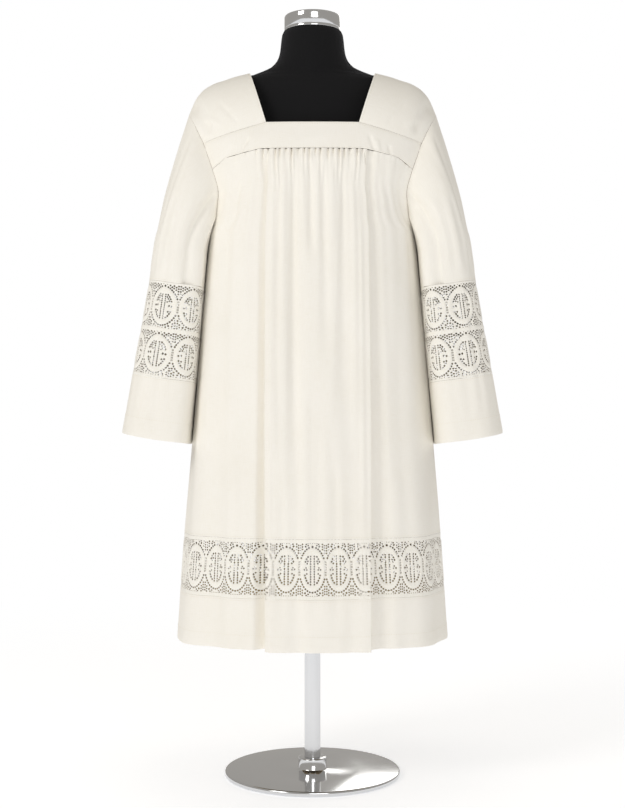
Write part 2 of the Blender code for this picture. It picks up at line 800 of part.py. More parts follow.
def add_cuff(name, side, material):
    columns = 4 * SLEEVE_REPEATS
    middle = between(SLEEVE_LACE_LOW, CUFF_HEM_HEIGHT, 0.5)
    table = even_angles(middle)
    heights = [SLEEVE_LACE_LOW - SEAM_GAP / 2, middle, CUFF_HEM_HEIGHT]
    outer = []
    normals = []
    for height in heights:
        for step in range(columns):
            point, normal = tube_piece(step / columns, height, table)
            outer.append(Vector((side * point.x, point.y, point.z)))
            normals.append(Vector((side * normal.x, normal.y, normal.z)))
    faces = make_sheet(len(heights), columns, closed=True)
    return add_cloth(name, outer, normals, faces, material)


# Dress form

def add_lathe(name, profile, columns, material):
    """Turned body from a profile of radius and height, closed at both ends."""
    points = []
    for radius, height in profile:
        for step in range(columns):
            angle = 2 * math.pi * step / columns
            points.append(Vector((radius * math.cos(angle), radius * math.sin(angle), height)))
    faces = make_sheet(len(profile), columns, closed=True)
    faces.append(tuple(reversed(range(columns))))
    faces.append(tuple(range((len(profile) - 1) * columns, len(profile) * columns)))
    return add_body(name, points, flip_if_inside_out(points, faces), material)


def form_sections():
    """All sections of the form, with the shoulders' own worked out from the cloth that rests on them."""
    shoulders = []
    for offset in SHOULDER_REST:
        height = shoulder_height(offset) - CLOTH_THICK * RIDGE_SLANT - SHOULDER_CLEARANCE
        shoulders.append(FormSection(height, offset, SHOULDER_DEPTH, SHOULDER_DEPTH, SHOULDER_ROUNDNESS))
    return FORM_BODY + shoulders + FORM_NECK


def add_form(name, material):
    points = []
    sections = form_sections()
    for section in sections:
        bend = 2.0 / section.roundness
        for step in range(FORM_COLUMNS):
            angle = 2 * math.pi * step / FORM_COLUMNS
            x = math.copysign(power(abs(math.cos(angle)), bend), math.cos(angle)) * section.half_width
            depth = section.back_depth if math.sin(angle) > 0 else section.front_depth
            y = math.copysign(power(abs(math.sin(angle)), bend), math.sin(angle)) * depth
            points.append(Vector((x, y, section.height)))
    faces = make_sheet(len(sections), FORM_COLUMNS, closed=True)
    faces.append(tuple(reversed(range(FORM_COLUMNS))))
    faces.append(tuple(range((len(sections) - 1) * FORM_COLUMNS, len(sections) * FORM_COLUMNS)))
    return add_body(name, points, flip_if_inside_out(points, faces), material, smooth_angle=50.0)


def add_stand(chrome):
    cap = [(CAP_RADIUS, CAP_BOTTOM), (CAP_RADIUS, CAP_TOP - CAP_BEVEL), (CAP_RADIUS - CAP_BEVEL, CAP_TOP)]
    add_lathe("form_neck_cap", cap, ROUND_COLUMNS, chrome)
    pole = [(POLE_RADIUS, COLLAR_TOP + SEAM_GAP), (POLE_RADIUS, FORM_BODY[0].height - SEAM_GAP)]
    add_lathe("form_pole", pole, POLE_COLUMNS, chrome)
    base = [(BASE_RADIUS, 0.0), (BASE_RADIUS, BASE_THICK - BASE_BEVEL), (BASE_RADIUS - BASE_BEVEL, BASE_THICK)]
    base += [(COLLAR_RADIUS, BASE_THICK), (COLLAR_RADIUS, COLLAR_TOP)]
    add_lathe("form_base", base, ROUND_COLUMNS, chrome)


# Materials and assembly

def make_material(name, colour, roughness, metallic=0.0):
    material = bpy.data.materials.new(name)
    material.use_nodes = True
    shader = material.node_tree.nodes["Principled BSDF"]
    shader.inputs["Base Color"].default_value = (*colour, 1.0)
    shader.inputs["Roughness"].default_value = roughness
    shader.inputs["Metallic"].default_value = metallic
    material.diffuse_color = (*colour, 1.0)
    return material


def main():
    for old in list(bpy.data.objects):
        bpy.data.objects.remove(old, do_unlink=True)
    cloth = make_material("ivory_cloth", (0.91, 0.87, 0.78), 0.85)
    lace = make_material("ivory_lace", (0.88, 0.83, 0.73), 0.90)
    jersey = make_material("black_jersey", (0.012, 0.012, 0.013), 0.90)
    chrome = make_material("chrome", (0.80, 0.80, 0.81), 0.10, 1.0)

    for word, face in (("front", FRONT), ("back", BACK)):
        add_body_panel("body_" + word, face, cloth)
        add_hem_lace("hem_lace_" + word, face, lace)
        add_hem_band("hem_band_" + word, face, cloth)
        add_yoke_band("yoke_band_" + word, face, cloth)
    for word, side in SIDES.items():
        add_shoulder_piece("yoke_" + word, side, cloth)
        add_upper_sleeve("sleeve_" + word + "_upper", side, cloth)
        add_sleeve_lace("sleeve_" + word + "_lace_front", side, FRONT, lace)
        add_sleeve_lace("sleeve_" + word + "_lace_back", side, BACK, lace)
        add_cuff("sleeve_" + word + "_cuff", side, cloth)
    add_form("form_torso", jersey)
    add_stand(chrome)


main()
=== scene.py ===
import math

import bpy
import numpy as np
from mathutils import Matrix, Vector
from mathutils.geometry import delaunay_2d_cdt


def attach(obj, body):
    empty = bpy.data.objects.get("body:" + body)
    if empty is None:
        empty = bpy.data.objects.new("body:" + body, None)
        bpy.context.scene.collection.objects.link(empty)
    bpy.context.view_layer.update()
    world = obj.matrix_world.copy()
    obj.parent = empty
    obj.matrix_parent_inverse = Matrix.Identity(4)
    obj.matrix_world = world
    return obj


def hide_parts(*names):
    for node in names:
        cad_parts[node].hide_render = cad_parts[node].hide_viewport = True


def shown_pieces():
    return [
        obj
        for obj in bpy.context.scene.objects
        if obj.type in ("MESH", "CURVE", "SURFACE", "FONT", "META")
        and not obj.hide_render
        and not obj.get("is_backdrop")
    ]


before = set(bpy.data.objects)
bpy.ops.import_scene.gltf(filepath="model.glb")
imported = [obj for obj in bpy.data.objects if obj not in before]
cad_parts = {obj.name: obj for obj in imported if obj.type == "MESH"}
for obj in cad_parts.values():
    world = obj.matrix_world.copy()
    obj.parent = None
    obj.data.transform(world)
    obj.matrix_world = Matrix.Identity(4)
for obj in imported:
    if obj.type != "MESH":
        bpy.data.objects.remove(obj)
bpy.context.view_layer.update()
front = -1
back = 1


def say(*words):
    print("surplice:", *words)


# Camera at the photograph's viewing angle: level, straight on, at half the height of the garment
camera = {
    "place": (0.0, -2.8, 0.738),
    "lens": 62.4,
    "sensor": 36.0,
}


def addCamera():
    data = bpy.data.cameras.new("photoCamera")
    data.lens = camera["lens"]
    data.sensor_width = camera["sensor"]
    data.sensor_fit = "AUTO"
    data.clip_end = 60.0
    eye = bpy.data.objects.new("photoCamera", data)
    eye.location = camera["place"]
    eye.rotation_euler = (math.pi / 2, 0.0, 0.0)
    bpy.context.scene.collection.objects.link(eye)
    bpy.context.scene.camera = eye


# The garment's smooth shape, from the hem up: height, half width, depth in front, depth behind
bodyShape = {
    "sections": np.array([
        (0.278, 0.268, 0.191, 0.191),
        (0.486, 0.254, 0.180, 0.181),
        (0.654, 0.240, 0.170, 0.172),
        (0.850, 0.224, 0.158, 0.157),
        (1.000, 0.211, 0.149, 0.144),
        (1.080, 0.204, 0.144, 0.137),
        (1.146, 0.203, 0.139, 0.132),
        (1.193, 0.226, 0.135, 0.129),
        (1.245, 0.240, 0.130, 0.125),
        (1.295, 0.247, 0.119, 0.118),
    ]),
    "roundness": 2.5,
    "hem": 0.278,
    "laceLow": 0.373,
    "laceTop": 0.485,
    "underarm": 1.080,
    "spread": 4,
    "seamGap": 0.0003,
    # height and distance from the middle of the armhole's edge
    "armhole": np.array([
        (1.080, 0.2040),
        (1.115, 0.1890),
        (1.146, 0.1830),
        (1.193, 0.1940),
        (1.245, 0.2120),
    ]),
    # distance from the middle, height in front, height behind
    "gatherSeam": np.array([
        (0.000, 1.226, 1.240),
        (0.100, 1.226, 1.240),
        (0.165, 1.212, 1.218),
        (0.194, 1.193, 1.193),
    ]),
    "shoulderSeam": np.array([
        (0.000, 1.278, 1.295),
        (0.089, 1.278, 1.295),
        (0.212, 1.245, 1.245),
    ]),
}
seamEnd = bodyShape["gatherSeam"][-1, 0]
bendBody = 2.0 / bodyShape["roundness"]


def ease(low, high, value):
    t = np.clip((value - low) / (high - low), 0.0, 1.0)
    return t * t * (3.0 - 2.0 * t)


def between(start, end, share):
    return start + (end - start) * share


def power(value, exponent):
    return np.maximum(0.0, value) ** exponent


def smoothRead(table, column, value):
    # smooth value of one column of a table, read at a place on its first column
    keys = table[:, 0]
    values = table[:, column]
    slopes = np.gradient(values, keys)
    value = np.asarray(value, float)
    i = np.clip(np.searchsorted(keys, value) - 1, 0, len(keys) - 2)
    span = keys[i + 1] - keys[i]
    t = (value - keys[i]) / span
    start = (2 * t ** 3 - 3 * t ** 2 + 1) * values[i] + (t ** 3 - 2 * t ** 2 + t) * span * slopes[i]
    end = (3 * t ** 2 - 2 * t ** 3) * values[i + 1] + (t ** 3 - t ** 2) * span * slopes[i + 1]
    inside = start + end
    below = values[0] + slopes[0] * (value - keys[0])
    above = values[-1] + slopes[-1] * (value - keys[-1])
    return np.where(value <= keys[0], below, np.where(value >= keys[-1], above, inside))


def bodySize(height, face):
    depth = 2 if face == front else 3
    return smoothRead(bodyShape["sections"], 1, height), smoothRead(bodyShape["sections"], depth,
                                                                    height)


def bodyDepth(x, height, face):
    halfWidth, depth = bodySize(height, face)
    return depth * power(1.0 - power(np.abs(x) / halfWidth, 2.0 / bendBody), bendBody / 2.0)


def bodyNormal(x, height, face):
    halfWidth, depth = bodySize(height, face)
    y = bodyDepth(x, height, face)
    bend = bodyShape["roundness"] - 1
    across = power(np.abs(x) / halfWidth, bend) / halfWidth
    out = power(y / depth, bend) / depth
    length = np.hypot(across, out)
    return np.stack([np.copysign(across, x) / length, face * out / length, np.zeros_like(across)], -1)


def levelArc(height, face):
    # half of a level section: length along it from the middle, and offset and depth there
    halfWidth, depth = bodySize(height, face)
    angles = np.linspace(0.0, math.pi / 2, 160)
    xs = halfWidth * np.sin(angles) ** bendBody
    ys = depth * power(np.cos(angles), bendBody)
    ys[-1] = 0.0
    lengths = np.concatenate([[0.0], np.cumsum(np.hypot(np.diff(xs), np.diff(ys)))])
    return lengths, xs, ys


def edgeArc(height, face):
    # length from the middle of a panel to its edge: the side seam, or the armhole above the underarm
    lengths, xs, ys = levelArc(height, face)
    if height <= bodyShape["underarm"]:
        return lengths[-1]
    return float(np.interp(smoothRead(bodyShape["armhole"], 1, height), xs, lengths))


def straightShare(height, face):
    seam = edgeArc(bodyShape["gatherSeam"][-1, 1], face)
    return min(1.0, seam / edgeArc(height, face))


# The smooth body sampled on levels and columns, so that a whole sheet is read at once
fieldLevels = np.linspace(0.262, 1.306, 175)
fieldColumns = np.linspace(0.0, seamEnd, 140)


def makeField(face):
    xs = np.zeros((len(fieldLevels), len(fieldColumns)))
    ys = np.zeros_like(xs)
    arcs = np.zeros_like(xs)
    share = fieldColumns / seamEnd
    for i, level in enumerate(fieldLevels):
        lengths, sectionX, sectionY = levelArc(level, face)
        straight = straightShare(level, face)
        arcs[i] = share * (straight + (1.0 - straight) * share ** (bodyShape["spread"] - 1)) * edgeArc(level, face)
        xs[i] = np.interp(arcs[i], lengths, sectionX)
        ys[i] = np.interp(arcs[i], lengths, sectionY)
    return {"x": xs, "y": ys, "arc": arcs}


def readField(values, column, height):
    u = np.clip(np.abs(column) / seamEnd * (len(fieldColumns) - 1), 0, len(fieldColumns) - 1.0001)
    v = (height - fieldLevels[0]) / (fieldLevels[1] - fieldLevels[0])
    v = np.clip(v, 0, len(fieldLevels) - 1.0001)
    i = u.astype(int)
    j = v.astype(int)
    s = u - i
    t = v - j
    low = values[j, i] * (1 - s) + values[j, i + 1] * s
    high = values[j + 1, i] * (1 - s) + values[j + 1, i + 1] * s
    return low * (1 - t) + high * t


fields = {face: makeField(face) for face in (front, back)}
say("smooth body sampled")


def columnAtArc(arc, height, face):
    # column whose cloth lies at a length from the middle of the level section
    low = np.zeros_like(arc)
    high = np.full_like(arc, seamEnd)
    for _ in range(22):
        middle = (low + high) / 2
        far = readField(fields[face]["arc"], middle, height) > np.abs(arc)
        high = np.where(far, middle, high)
        low = np.where(far, low, middle)
    return np.copysign((low + high) / 2, arc)


def seamHeight(stops, offset, face):
    return np.interp(np.abs(offset), stops[:, 0], stops[:, 1 if face == front else 2])


# Cloth of the body: a column is a place's distance from the middle at the gathered seam.
bodyCloth = {
    "thick": 0.0011,
    "gatherPitch": 0.0106,
    "gatherShift": 0.0022,      # how far a gather strays from its even place
    "gatherReach": 0.098,
    "gatherReachDown": 0.060,
    "gatherHeight": 0.0015,
    "notchHeight": 0.0040,      # the short sharp tuck right under the band
    "notchReach": 0.022,
    "puckerHeight": 0.0009,
    "pleatEdges": (-0.0775, 0.0917),
    "pleatWidth": 0.0040,
    "pleatHeight": 0.0090,
    "pleatTop": 0.0030,         # how proud the middle already stands at the band
    "pleatLap": 0.0048,         # how far its folded edge laps over the side
    "pleatDrop": 0.003,
    "freeEdge": 0.012,
    # place and half width at the band and at the hem, then height at the band and at the hem
    "frontFolds": [
        (-0.0850, -0.0840, 0.010, 0.013, -0.0025, -0.0170),
        (0.1055, 0.109, 0.012, 0.018, -0.0035, -0.0090),
        (-0.030, -0.027, 0.022, 0.026, -0.0010, -0.0045),
        (0.062, 0.068, 0.020, 0.024, -0.0010, -0.0040),
        (-0.145, -0.141, 0.014, 0.016, -0.0010, -0.0080),
        (-0.166, -0.164, 0.014, 0.016, 0.0010, 0.0050),
        (0.146, 0.150, 0.014, 0.018, 0.0015, 0.0070),
        (0.174, 0.172, 0.012, 0.014, -0.0010, -0.0060),
    ],
    "backFolds": [
        (-0.098, -0.102, 0.012, 0.017, -0.0030, -0.0085),
        (0.101, 0.100, 0.012, 0.015, -0.0030, -0.0070),
        (-0.058, -0.064, 0.022, 0.026, -0.0010, -0.0045),
        (0.034, 0.030, 0.020, 0.024, -0.0010, -0.0050),
        (0.143, 0.146, 0.014, 0.017, 0.0010, 0.0060),
        (-0.149, -0.146, 0.014, 0.018, 0.0015, 0.0065),
        (0.168, 0.170, 0.014, 0.015, -0.0010, -0.0065),
    ],
    # soft creases: column and height at both ends, half width at both ends, height of the crease
    "frontCreases": [
        (-0.071, 1.190, -0.068, 0.560, 0.007, 0.011, 0.0022),
        (-0.059, 1.200, -0.058, 0.980, 0.004, 0.007, -0.0012),
        (-0.052, 1.205, -0.051, 0.700, 0.008, 0.018, 0.0030),
        (-0.034, 1.212, -0.032, 0.560, 0.007, 0.019, -0.0048),
        (-0.018, 1.200, -0.014, 1.000, 0.007, 0.013, 0.0022),
        (-0.004, 1.208, -0.002, 1.020, 0.005, 0.010, -0.0028),
        (0.008, 1.200, 0.010, 1.000, 0.006, 0.012, 0.0018),
        (0.020, 1.208, 0.024, 0.800, 0.006, 0.019, -0.0032),
        (0.036, 1.200, 0.036, 1.000, 0.008, 0.015, 0.0022),
        (0.056, 1.215, 0.050, 0.640, 0.006, 0.022, -0.0034),
        (0.072, 1.205, 0.074, 0.640, 0.007, 0.012, 0.0022),
        (-0.068, 1.100, -0.070, 0.560, 0.010, 0.018, 0.0016),
        (0.084, 1.120, 0.084, 0.420, 0.005, 0.007, 0.0016),
        (-0.074, 1.060, -0.073, 0.420, 0.004, 0.006, 0.0014),
        (-0.013, 0.780, -0.016, 0.290, 0.012, 0.018, 0.0020),
        (0.022, 0.700, 0.020, 0.290, 0.012, 0.018, 0.0016),
        (0.040, 0.640, 0.044, 0.290, 0.011, 0.016, -0.0022),
        (-0.052, 0.600, -0.055, 0.290, 0.011, 0.015, -0.0020),
        (-0.112, 1.180, -0.110, 0.800, 0.009, 0.014, 0.0022),
        (-0.141, 1.180, -0.139, 0.900, 0.008, 0.012, -0.0018),
        (0.131, 1.190, 0.134, 0.800, 0.008, 0.012, 0.0019),
        (0.143, 1.170, 0.146, 0.930, 0.007, 0.012, -0.0017),
        (-0.158, 1.120, -0.155, 0.640, 0.010, 0.015, 0.0022),
        (0.161, 1.090, 0.162, 0.620, 0.010, 0.016, -0.0022),
        (-0.175, 0.900, -0.176, 0.320, 0.010, 0.012, -0.0020),
        (0.183, 0.980, 0.183, 0.420, 0.008, 0.010, 0.0016),
        (-0.122, 0.640, -0.124, 0.290, 0.010, 0.013, 0.0024),
        (0.128, 0.620, 0.134, 0.290, 0.010, 0.014, 0.0022),
    ],
    "backCreases": [
        (-0.086, 1.225, -0.082, 0.900, 0.006, 0.013, -0.0018),
        (-0.060, 1.225, -0.058, 0.960, 0.007, 0.013, 0.0017),
        (-0.028, 1.228, -0.026, 0.760, 0.007, 0.016, -0.0022),
        (-0.002, 1.228, 0.002, 0.860, 0.007, 0.014, 0.0017),
        (0.019, 1.228, 0.020, 0.800, 0.007, 0.015, -0.0020),
        (0.047, 1.226, 0.050, 0.900, 0.007, 0.013, 0.0017),
        (0.066, 1.226, 0.070, 0.700, 0.007, 0.016, -0.0022),
        (0.086, 1.150, 0.088, 0.600, 0.008, 0.012, 0.0018),
        (-0.094, 1.100, -0.094, 0.420, 0.006, 0.010, 0.0016),
        (-0.010, 0.760, -0.012, 0.290, 0.012, 0.018, 0.0020),
        (0.060, 0.660, 0.062, 0.290, 0.011, 0.016, 0.0021),
        (-0.036, 0.620, -0.034, 0.290, 0.011, 0.016, 0.0021),
        (-0.130, 1.180, -0.130, 0.840, 0.008, 0.013, 0.0018),
        (-0.143, 1.150, -0.141, 0.880, 0.008, 0.012, -0.0018),
        (0.129, 1.180, 0.131, 0.820, 0.008, 0.012, 0.0018),
        (0.156, 1.120, 0.158, 0.700, 0.010, 0.014, -0.0020),
        (-0.168, 1.000, -0.168, 0.420, 0.010, 0.013, -0.0022),
        (0.181, 0.940, 0.182, 0.400, 0.009, 0.011, 0.0018),
        (0.126, 0.640, 0.128, 0.290, 0.010, 0.014, 0.0022),
        (-0.132, 0.600, -0.134, 0.290, 0.010, 0.013, -0.0020),
    ],
}


def gatherRelief(column, height, face):
    # every gather has its own place, height and reach: a sharp short tuck, and a soft valley below some
    pitch = bodyCloth["gatherPitch"]
    moved = column + bodyCloth["gatherShift"] * np.sin(column * 190.0 + face) * np.sin(column * 71.0)
    number = np.round(moved / pitch - 0.5)
    below = seamHeight(bodyShape["gatherSeam"], column, face) - height
    lift = np.sin(2.3 * number + 1.3 * face)
    reach = bodyCloth["gatherReachDown"] * (1.0 + 0.75 * lift)
    wave = (1.0 - np.cos(2 * math.pi * moved / pitch)) / 2.0
    soft = 1.0 - 2.0 * wave ** 1.5
    tall = bodyCloth["gatherHeight"] * (1.0 + 0.45 * lift) * (1.0 - ease(0.0, 1.0,
                                                                         below / reach)) * soft
    notch = 1.0 - ease(0.0, 1.0, below / (bodyCloth["notchReach"] * (1.0 + 0.4 * np.sin(4.1 * number))))
    tuck = bodyCloth["notchHeight"] * (1.0 + 0.45 * np.sin(3.1 * number)) * wave ** 6 * notch
    share = 1.0 - ease(bodyCloth["gatherReach"] - pitch / 2, bodyCloth["gatherReach"] + pitch,
                       np.abs(column))
    # outside the middle only small puckers are left
    pucker = bodyCloth["puckerHeight"] * wave ** 5 * notch * (1.0 - share)
    return (tall - tuck) * share - pucker


def creaseRelief(across, up, creases):
    total = np.zeros_like(across)
    for across0, up0, across1, up1, half0, half1, tall in creases:
        run = np.array([across1 - across0, up1 - up0])
        t = ((across - across0) * run[0] + (up - up0) * run[1]) / (run @ run)
        held = np.clip(t, 0.0, 1.0)
        away = np.hypot(across - across0 - run[0] * held, up - up0 - run[1] * held)
        away = np.minimum(1.0, away / between(half0, half1, held))
        fade = ease(-0.02, 0.16, t) * (1.0 - ease(0.72, 1.02, t))
        total = total + tall * fade * 0.5 * (1.0 + np.cos(math.pi * away))
    return total


def pleatShare(column, lead=0.0):
    # 1 on the proud middle between its two folded edges, 0 beside it
    low, high = bodyCloth["pleatEdges"]
    width = bodyCloth["pleatWidth"]
    return ease(low - width - lead, low - lead,
                column) * (1.0 - ease(high + lead, high + width + lead, column))


def insideShadeShare(column):
    # how far the cloth's inner side gets the painted shade colour: not inside the two folded edges,
    # where it can show
    low, high = bodyCloth["pleatEdges"]
    width = bodyCloth["pleatWidth"]
    away = np.minimum(np.abs(column - low + 0.4 * width), np.abs(column - high - 0.4 * width))
    return ease(1.4 * width, 2.2 * width, away)


def dropShare(height):
    top = bodyShape["gatherSeam"][0, 1]
    return (top - height) / (top - bodyShape["hem"])


def bodyRelief(column, height, face):
    drop = np.maximum(dropShare(height), 0.0)
    relief = gatherRelief(column, height, face)
    for fold in bodyCloth["frontFolds" if face == front else "backFolds"]:
        place = between(fold[0], fold[1], drop)
        half = between(fold[2], fold[3], drop)
        tall = between(fold[4], fold[5], drop ** 0.8)
        away = np.minimum(1.0, np.abs(column - place) / half)
        relief = relief + tall * 0.5 * (1.0 + np.cos(math.pi * away))
    relief = relief + creaseRelief(column, height,
                                   bodyCloth["frontCreases" if face == front else "backCreases"])
    below = seamHeight(bodyShape["gatherSeam"], column, face) - height
    stand = bodyCloth["pleatTop"] * ease(0.0, 0.02, below) * (1.0 - ease(0.0, 0.5, drop))
    stand = stand + bodyCloth["pleatHeight"] * ease(0.0, 0.6, drop)
    relief = relief + stand * pleatShare(column)
    # a few millimetres of uneven fall, so that no stretch hangs dead straight
    relief = relief + 0.0006 * np.sin(column * 71 + height * 9 + face) * ease(0.02, 0.30, drop)
    return relief * ease(0.0, bodyCloth["freeEdge"], seamEnd - np.abs(column))


def bodyBase(column, height, face):
    x = np.copysign(readField(fields[face]["x"], column, height), column)
    y = face * readField(fields[face]["y"], column, height)
    return np.stack([x, y, height + 0.0 * x], -1), bodyNormal(x, height, face)


def drape(column, height, face):
    # the cloth's outer surface: the smooth body, its relief, and the lap of the two folded edges
    point, normal = bodyBase(column, height, face)
    point = point + normal * bodyRelief(column, height, face)[:, None]
    low, high = bodyCloth["pleatEdges"]
    width = bodyCloth["pleatWidth"]
    below = seamHeight(bodyShape["gatherSeam"], column, face) - height
    lap = bodyCloth["pleatLap"] * ease(0.004, 0.05,
                                       below) * (1.0 - 0.5 * ease(0.5, 1.0, dropShare(height)))
    for edge, side in ((low, -1.0), (high, 1.0)):
        t = (column - edge) * side / width      # 0 on the edge's crest, 1 in the groove beside it
        over = np.exp(-((t - 0.10) / 0.34) ** 2) - 0.8 * np.exp(-((t - 0.95) / 0.34) ** 2)
        point[:, 0] += side * lap * over
    point[:, 1] += face * bodyShape["seamGap"] / 2
    return point, normal


# Sheets of cloth: an outer and an inner side with a softened rim round every free edge

def gridFaces(rows, columns, closed=False):
    index = np.arange(rows * columns).reshape(rows, columns)
    if closed:
        index = np.hstack([index, index[:, :1]])
    corners = [index[:-1, :-1], index[:-1, 1:], index[1:, 1:], index[1:, :-1]]
    return np.stack(corners, axis=-1).reshape(-1, 4)


def freeEdges(faces):
    # edges of one face only, in that face's own direction
    starts = faces.reshape(-1)
    ends = np.roll(faces, -1, axis=1).reshape(-1)
    low, high = np.minimum(starts, ends), np.maximum(starts, ends)
    key = low.astype(np.int64) * (faces.max() + 1) + high
    order = np.argsort(key, kind="stable")
    sortedKey = key[order]
    single = np.ones(len(key), bool)
    single[1:] &= sortedKey[1:] != sortedKey[:-1]
    single[:-1] &= sortedKey[:-1] != sortedKey[1:]
    chosen = np.sort(order[single])
    return starts[chosen], ends[chosen]


def addMesh(name, points, faceGroups, uv, material, sharp=62.0, paintedInsideShade=None):
    # faceGroups holds arrays of quads or triangles; the inner side's mask is 1 on the corners of a
    # cloth's inner side, where the material mixes in a painted shade colour
    mesh = bpy.data.meshes.new(name)
    faceList = []
    for group in faceGroups:
        faceList += group.tolist()
    mesh.from_pydata(points.tolist(), [], faceList)
    if uv is not None:
        layer = mesh.uv_layers.new(name="metres")
        corner = np.zeros(len(mesh.loops), np.int32)
        mesh.loops.foreach_get("vertex_index", corner)
        layer.data.foreach_set("uv", uv[corner].astype(np.float32).reshape(-1))
    if paintedInsideShade is not None:
        side = mesh.attributes.new("paintedInsideShade", "FLOAT", "POINT")
        side.data.foreach_set("value", paintedInsideShade.astype(np.float32))
    mesh.shade_smooth()
    mesh.set_sharp_from_angle(angle=math.radians(sharp))
    mesh.materials.append(material)
    piece = bpy.data.objects.new(name, mesh)
    bpy.context.scene.collection.objects.link(piece)
    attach(piece, "root")
    return piece


def addCloth(name, outer, inner, faces, uv, material, soften=0.14, insideShadeMask=None):
    outward = outer - inner
    corners = outer[faces[:, :3]]
    facing = np.cross(corners[:, 1] - corners[:, 0], corners[:, 2] - corners[:, 0])
    if (facing * outward[faces[:, 0]]).sum() < 0:
        faces = faces[:, ::-1].copy()
    starts, ends = freeEdges(faces)
    rim = np.unique(np.concatenate([starts, ends]))
    outer = outer.copy()
    inner = inner.copy()
    outer[rim] -= outward[rim] * soften
    inner[rim] += outward[rim] * soften
    count = len(outer)
    walls = np.stack([ends, starts, starts + count, ends + count], -1)
    points = np.vstack([outer, inner])
    # the inner side's corners are marked for the painted shade colour in the material
    paintedInsideShade = np.concatenate([np.zeros(count), np.ones(count) if insideShadeMask is None else insideShadeMask])
    return addMesh(name, points, [faces, faces[:, ::-1] + count, walls], np.vstack([uv, uv]), material,
                   paintedInsideShade=paintedInsideShade)


def gridNormals(points, rows, columns, closed=False):
    grid = points.reshape(rows, columns, 3)
    if closed:
        around = np.roll(grid, -1, 1) - np.roll(grid, 1, 1)
    else:
        around = np.gradient(grid, axis=1)
    along = np.gradient(grid, axis=0)
    normal = np.cross(around, along)
    normal /= np.linalg.norm(normal, axis=-1, keepdims=True) + 1e-12
    return normal.reshape(-1, 3)


def outwardFrom(normal, points, middle):
    # turn normals that point towards a middle place or line
    turned = (normal * (points - middle)).sum(-1) < 0
    normal = normal.copy()
    normal[turned] *= -1
    return normal


def gridUv(points, rows, columns):
    # metres across and down the cloth, for the weave
    grid = points.reshape(rows, columns, 3)
    across = np.linalg.norm(np.diff(grid, axis=1), axis=-1)
    across = np.concatenate([np.zeros((rows, 1)), np.cumsum(across, axis=1)], axis=1)
    across -= across[:, columns // 2:columns // 2 + 1]
    down = np.linalg.norm(np.diff(grid, axis=0), axis=-1)
    down = np.concatenate([np.zeros((1, columns)), np.cumsum(down, axis=0)], axis=0)
    return np.stack([across, -down], -1).reshape(-1, 2)


def layerArea(points, rows, columns, closed=False):
    faces = gridFaces(rows, columns, closed)
    a, b, c, d = (points[faces[:, i]] for i in range(4))
    return 0.5 * np.linalg.norm(np.cross(c - a, d - b), axis=1).sum()


def panelColumns():
    # even steps, with a few more through each folded edge of the pleat
    columns = list(np.linspace(-seamEnd, seamEnd, 217))
    for edge, side in zip(bodyCloth["pleatEdges"], (-1, 1)):
        for t in (-0.5, -0.25, -0.05, 0.1, 0.25, 0.4, 0.55, 0.7, 0.85, 1.0, 1.2):
            columns.append(edge + side * t * bodyCloth["pleatWidth"])
    columns = np.sort(np.array(columns))
    keep = np.concatenate([[True], np.diff(columns) > 0.00035])
    return columns[keep]


def seamPoint(column, face):
    height = seamHeight(bodyShape["gatherSeam"], column, face)
    for _ in range(5):
        x = readField(fields[face]["x"], column, height)
        height = seamHeight(bodyShape["gatherSeam"], x, face)
    return np.copysign(x, column), height


def addBodyPanel(name, face, material):
    columns = panelColumns()
    top = seamPoint(columns, face)[1] - bodyShape["seamGap"]
    bottom = bodyShape["laceTop"] + bodyShape["seamGap"] / 2
    level = 1.150                                   # rows bend with the seam above this height
    upper = np.concatenate([np.linspace(0, 0.42, 11), np.linspace(0.42, 1.0, 8)[1:]])
    rows = [between(top, level, share) for share in upper]
    lower = np.concatenate([np.linspace(level, 0.96, 26)[1:], np.linspace(0.96, bottom, 42)[1:]])
    rows += [np.full(len(columns), height) for height in lower]
    heights = np.concatenate(rows)
    across = np.tile(columns, len(rows))
    outer, normal = drape(across, heights, face)
    faces = gridFaces(len(rows), len(columns))
    piece = addCloth(name, outer, outer - normal * bodyCloth["thick"], faces,
                     gridUv(outer, len(rows), len(columns)), material, insideShadeMask=insideShadeShare(across))
    return piece, layerArea(outer, len(rows), len(columns))


hemCloth = {
    "rows": 22,
    "turnUp": 0.030,            # the hem is turned up this far inside
    "turnThick": 0.0019,
}


def addHemBand(name, face, material):
    columns = panelColumns()
    top = bodyShape["laceLow"] - bodyShape["seamGap"] / 2
    shares = np.linspace(0.0, 1.0, hemCloth["rows"])
    levels = between(top, bodyShape["hem"], shares)
    rows = [level - bodyCloth["pleatDrop"] * pleatShare(columns) * share for level,
            share in zip(levels, shares)]
    heights = np.concatenate(rows)
    across = np.tile(columns, len(rows))
    outer, normal = drape(across, heights, face)
    turned = 1.0 - ease(bodyShape["hem"] + hemCloth["turnUp"] - 0.002,
                        bodyShape["hem"] + hemCloth["turnUp"], heights)
    thick = between(bodyCloth["thick"], hemCloth["turnThick"], turned)
    # the doubled hem stands a hair proud, and its fold is round
    outer = outer + normal * (0.0003 * turned)[:, None]
    faces = gridFaces(len(rows), len(columns))
    piece = addCloth(name, outer, outer - normal * thick[:, None], faces,
                     gridUv(outer, len(rows),
                            len(columns)), material, soften=0.36, insideShadeMask=insideShadeShare(across))
    return piece, layerArea(outer, len(rows), len(columns))


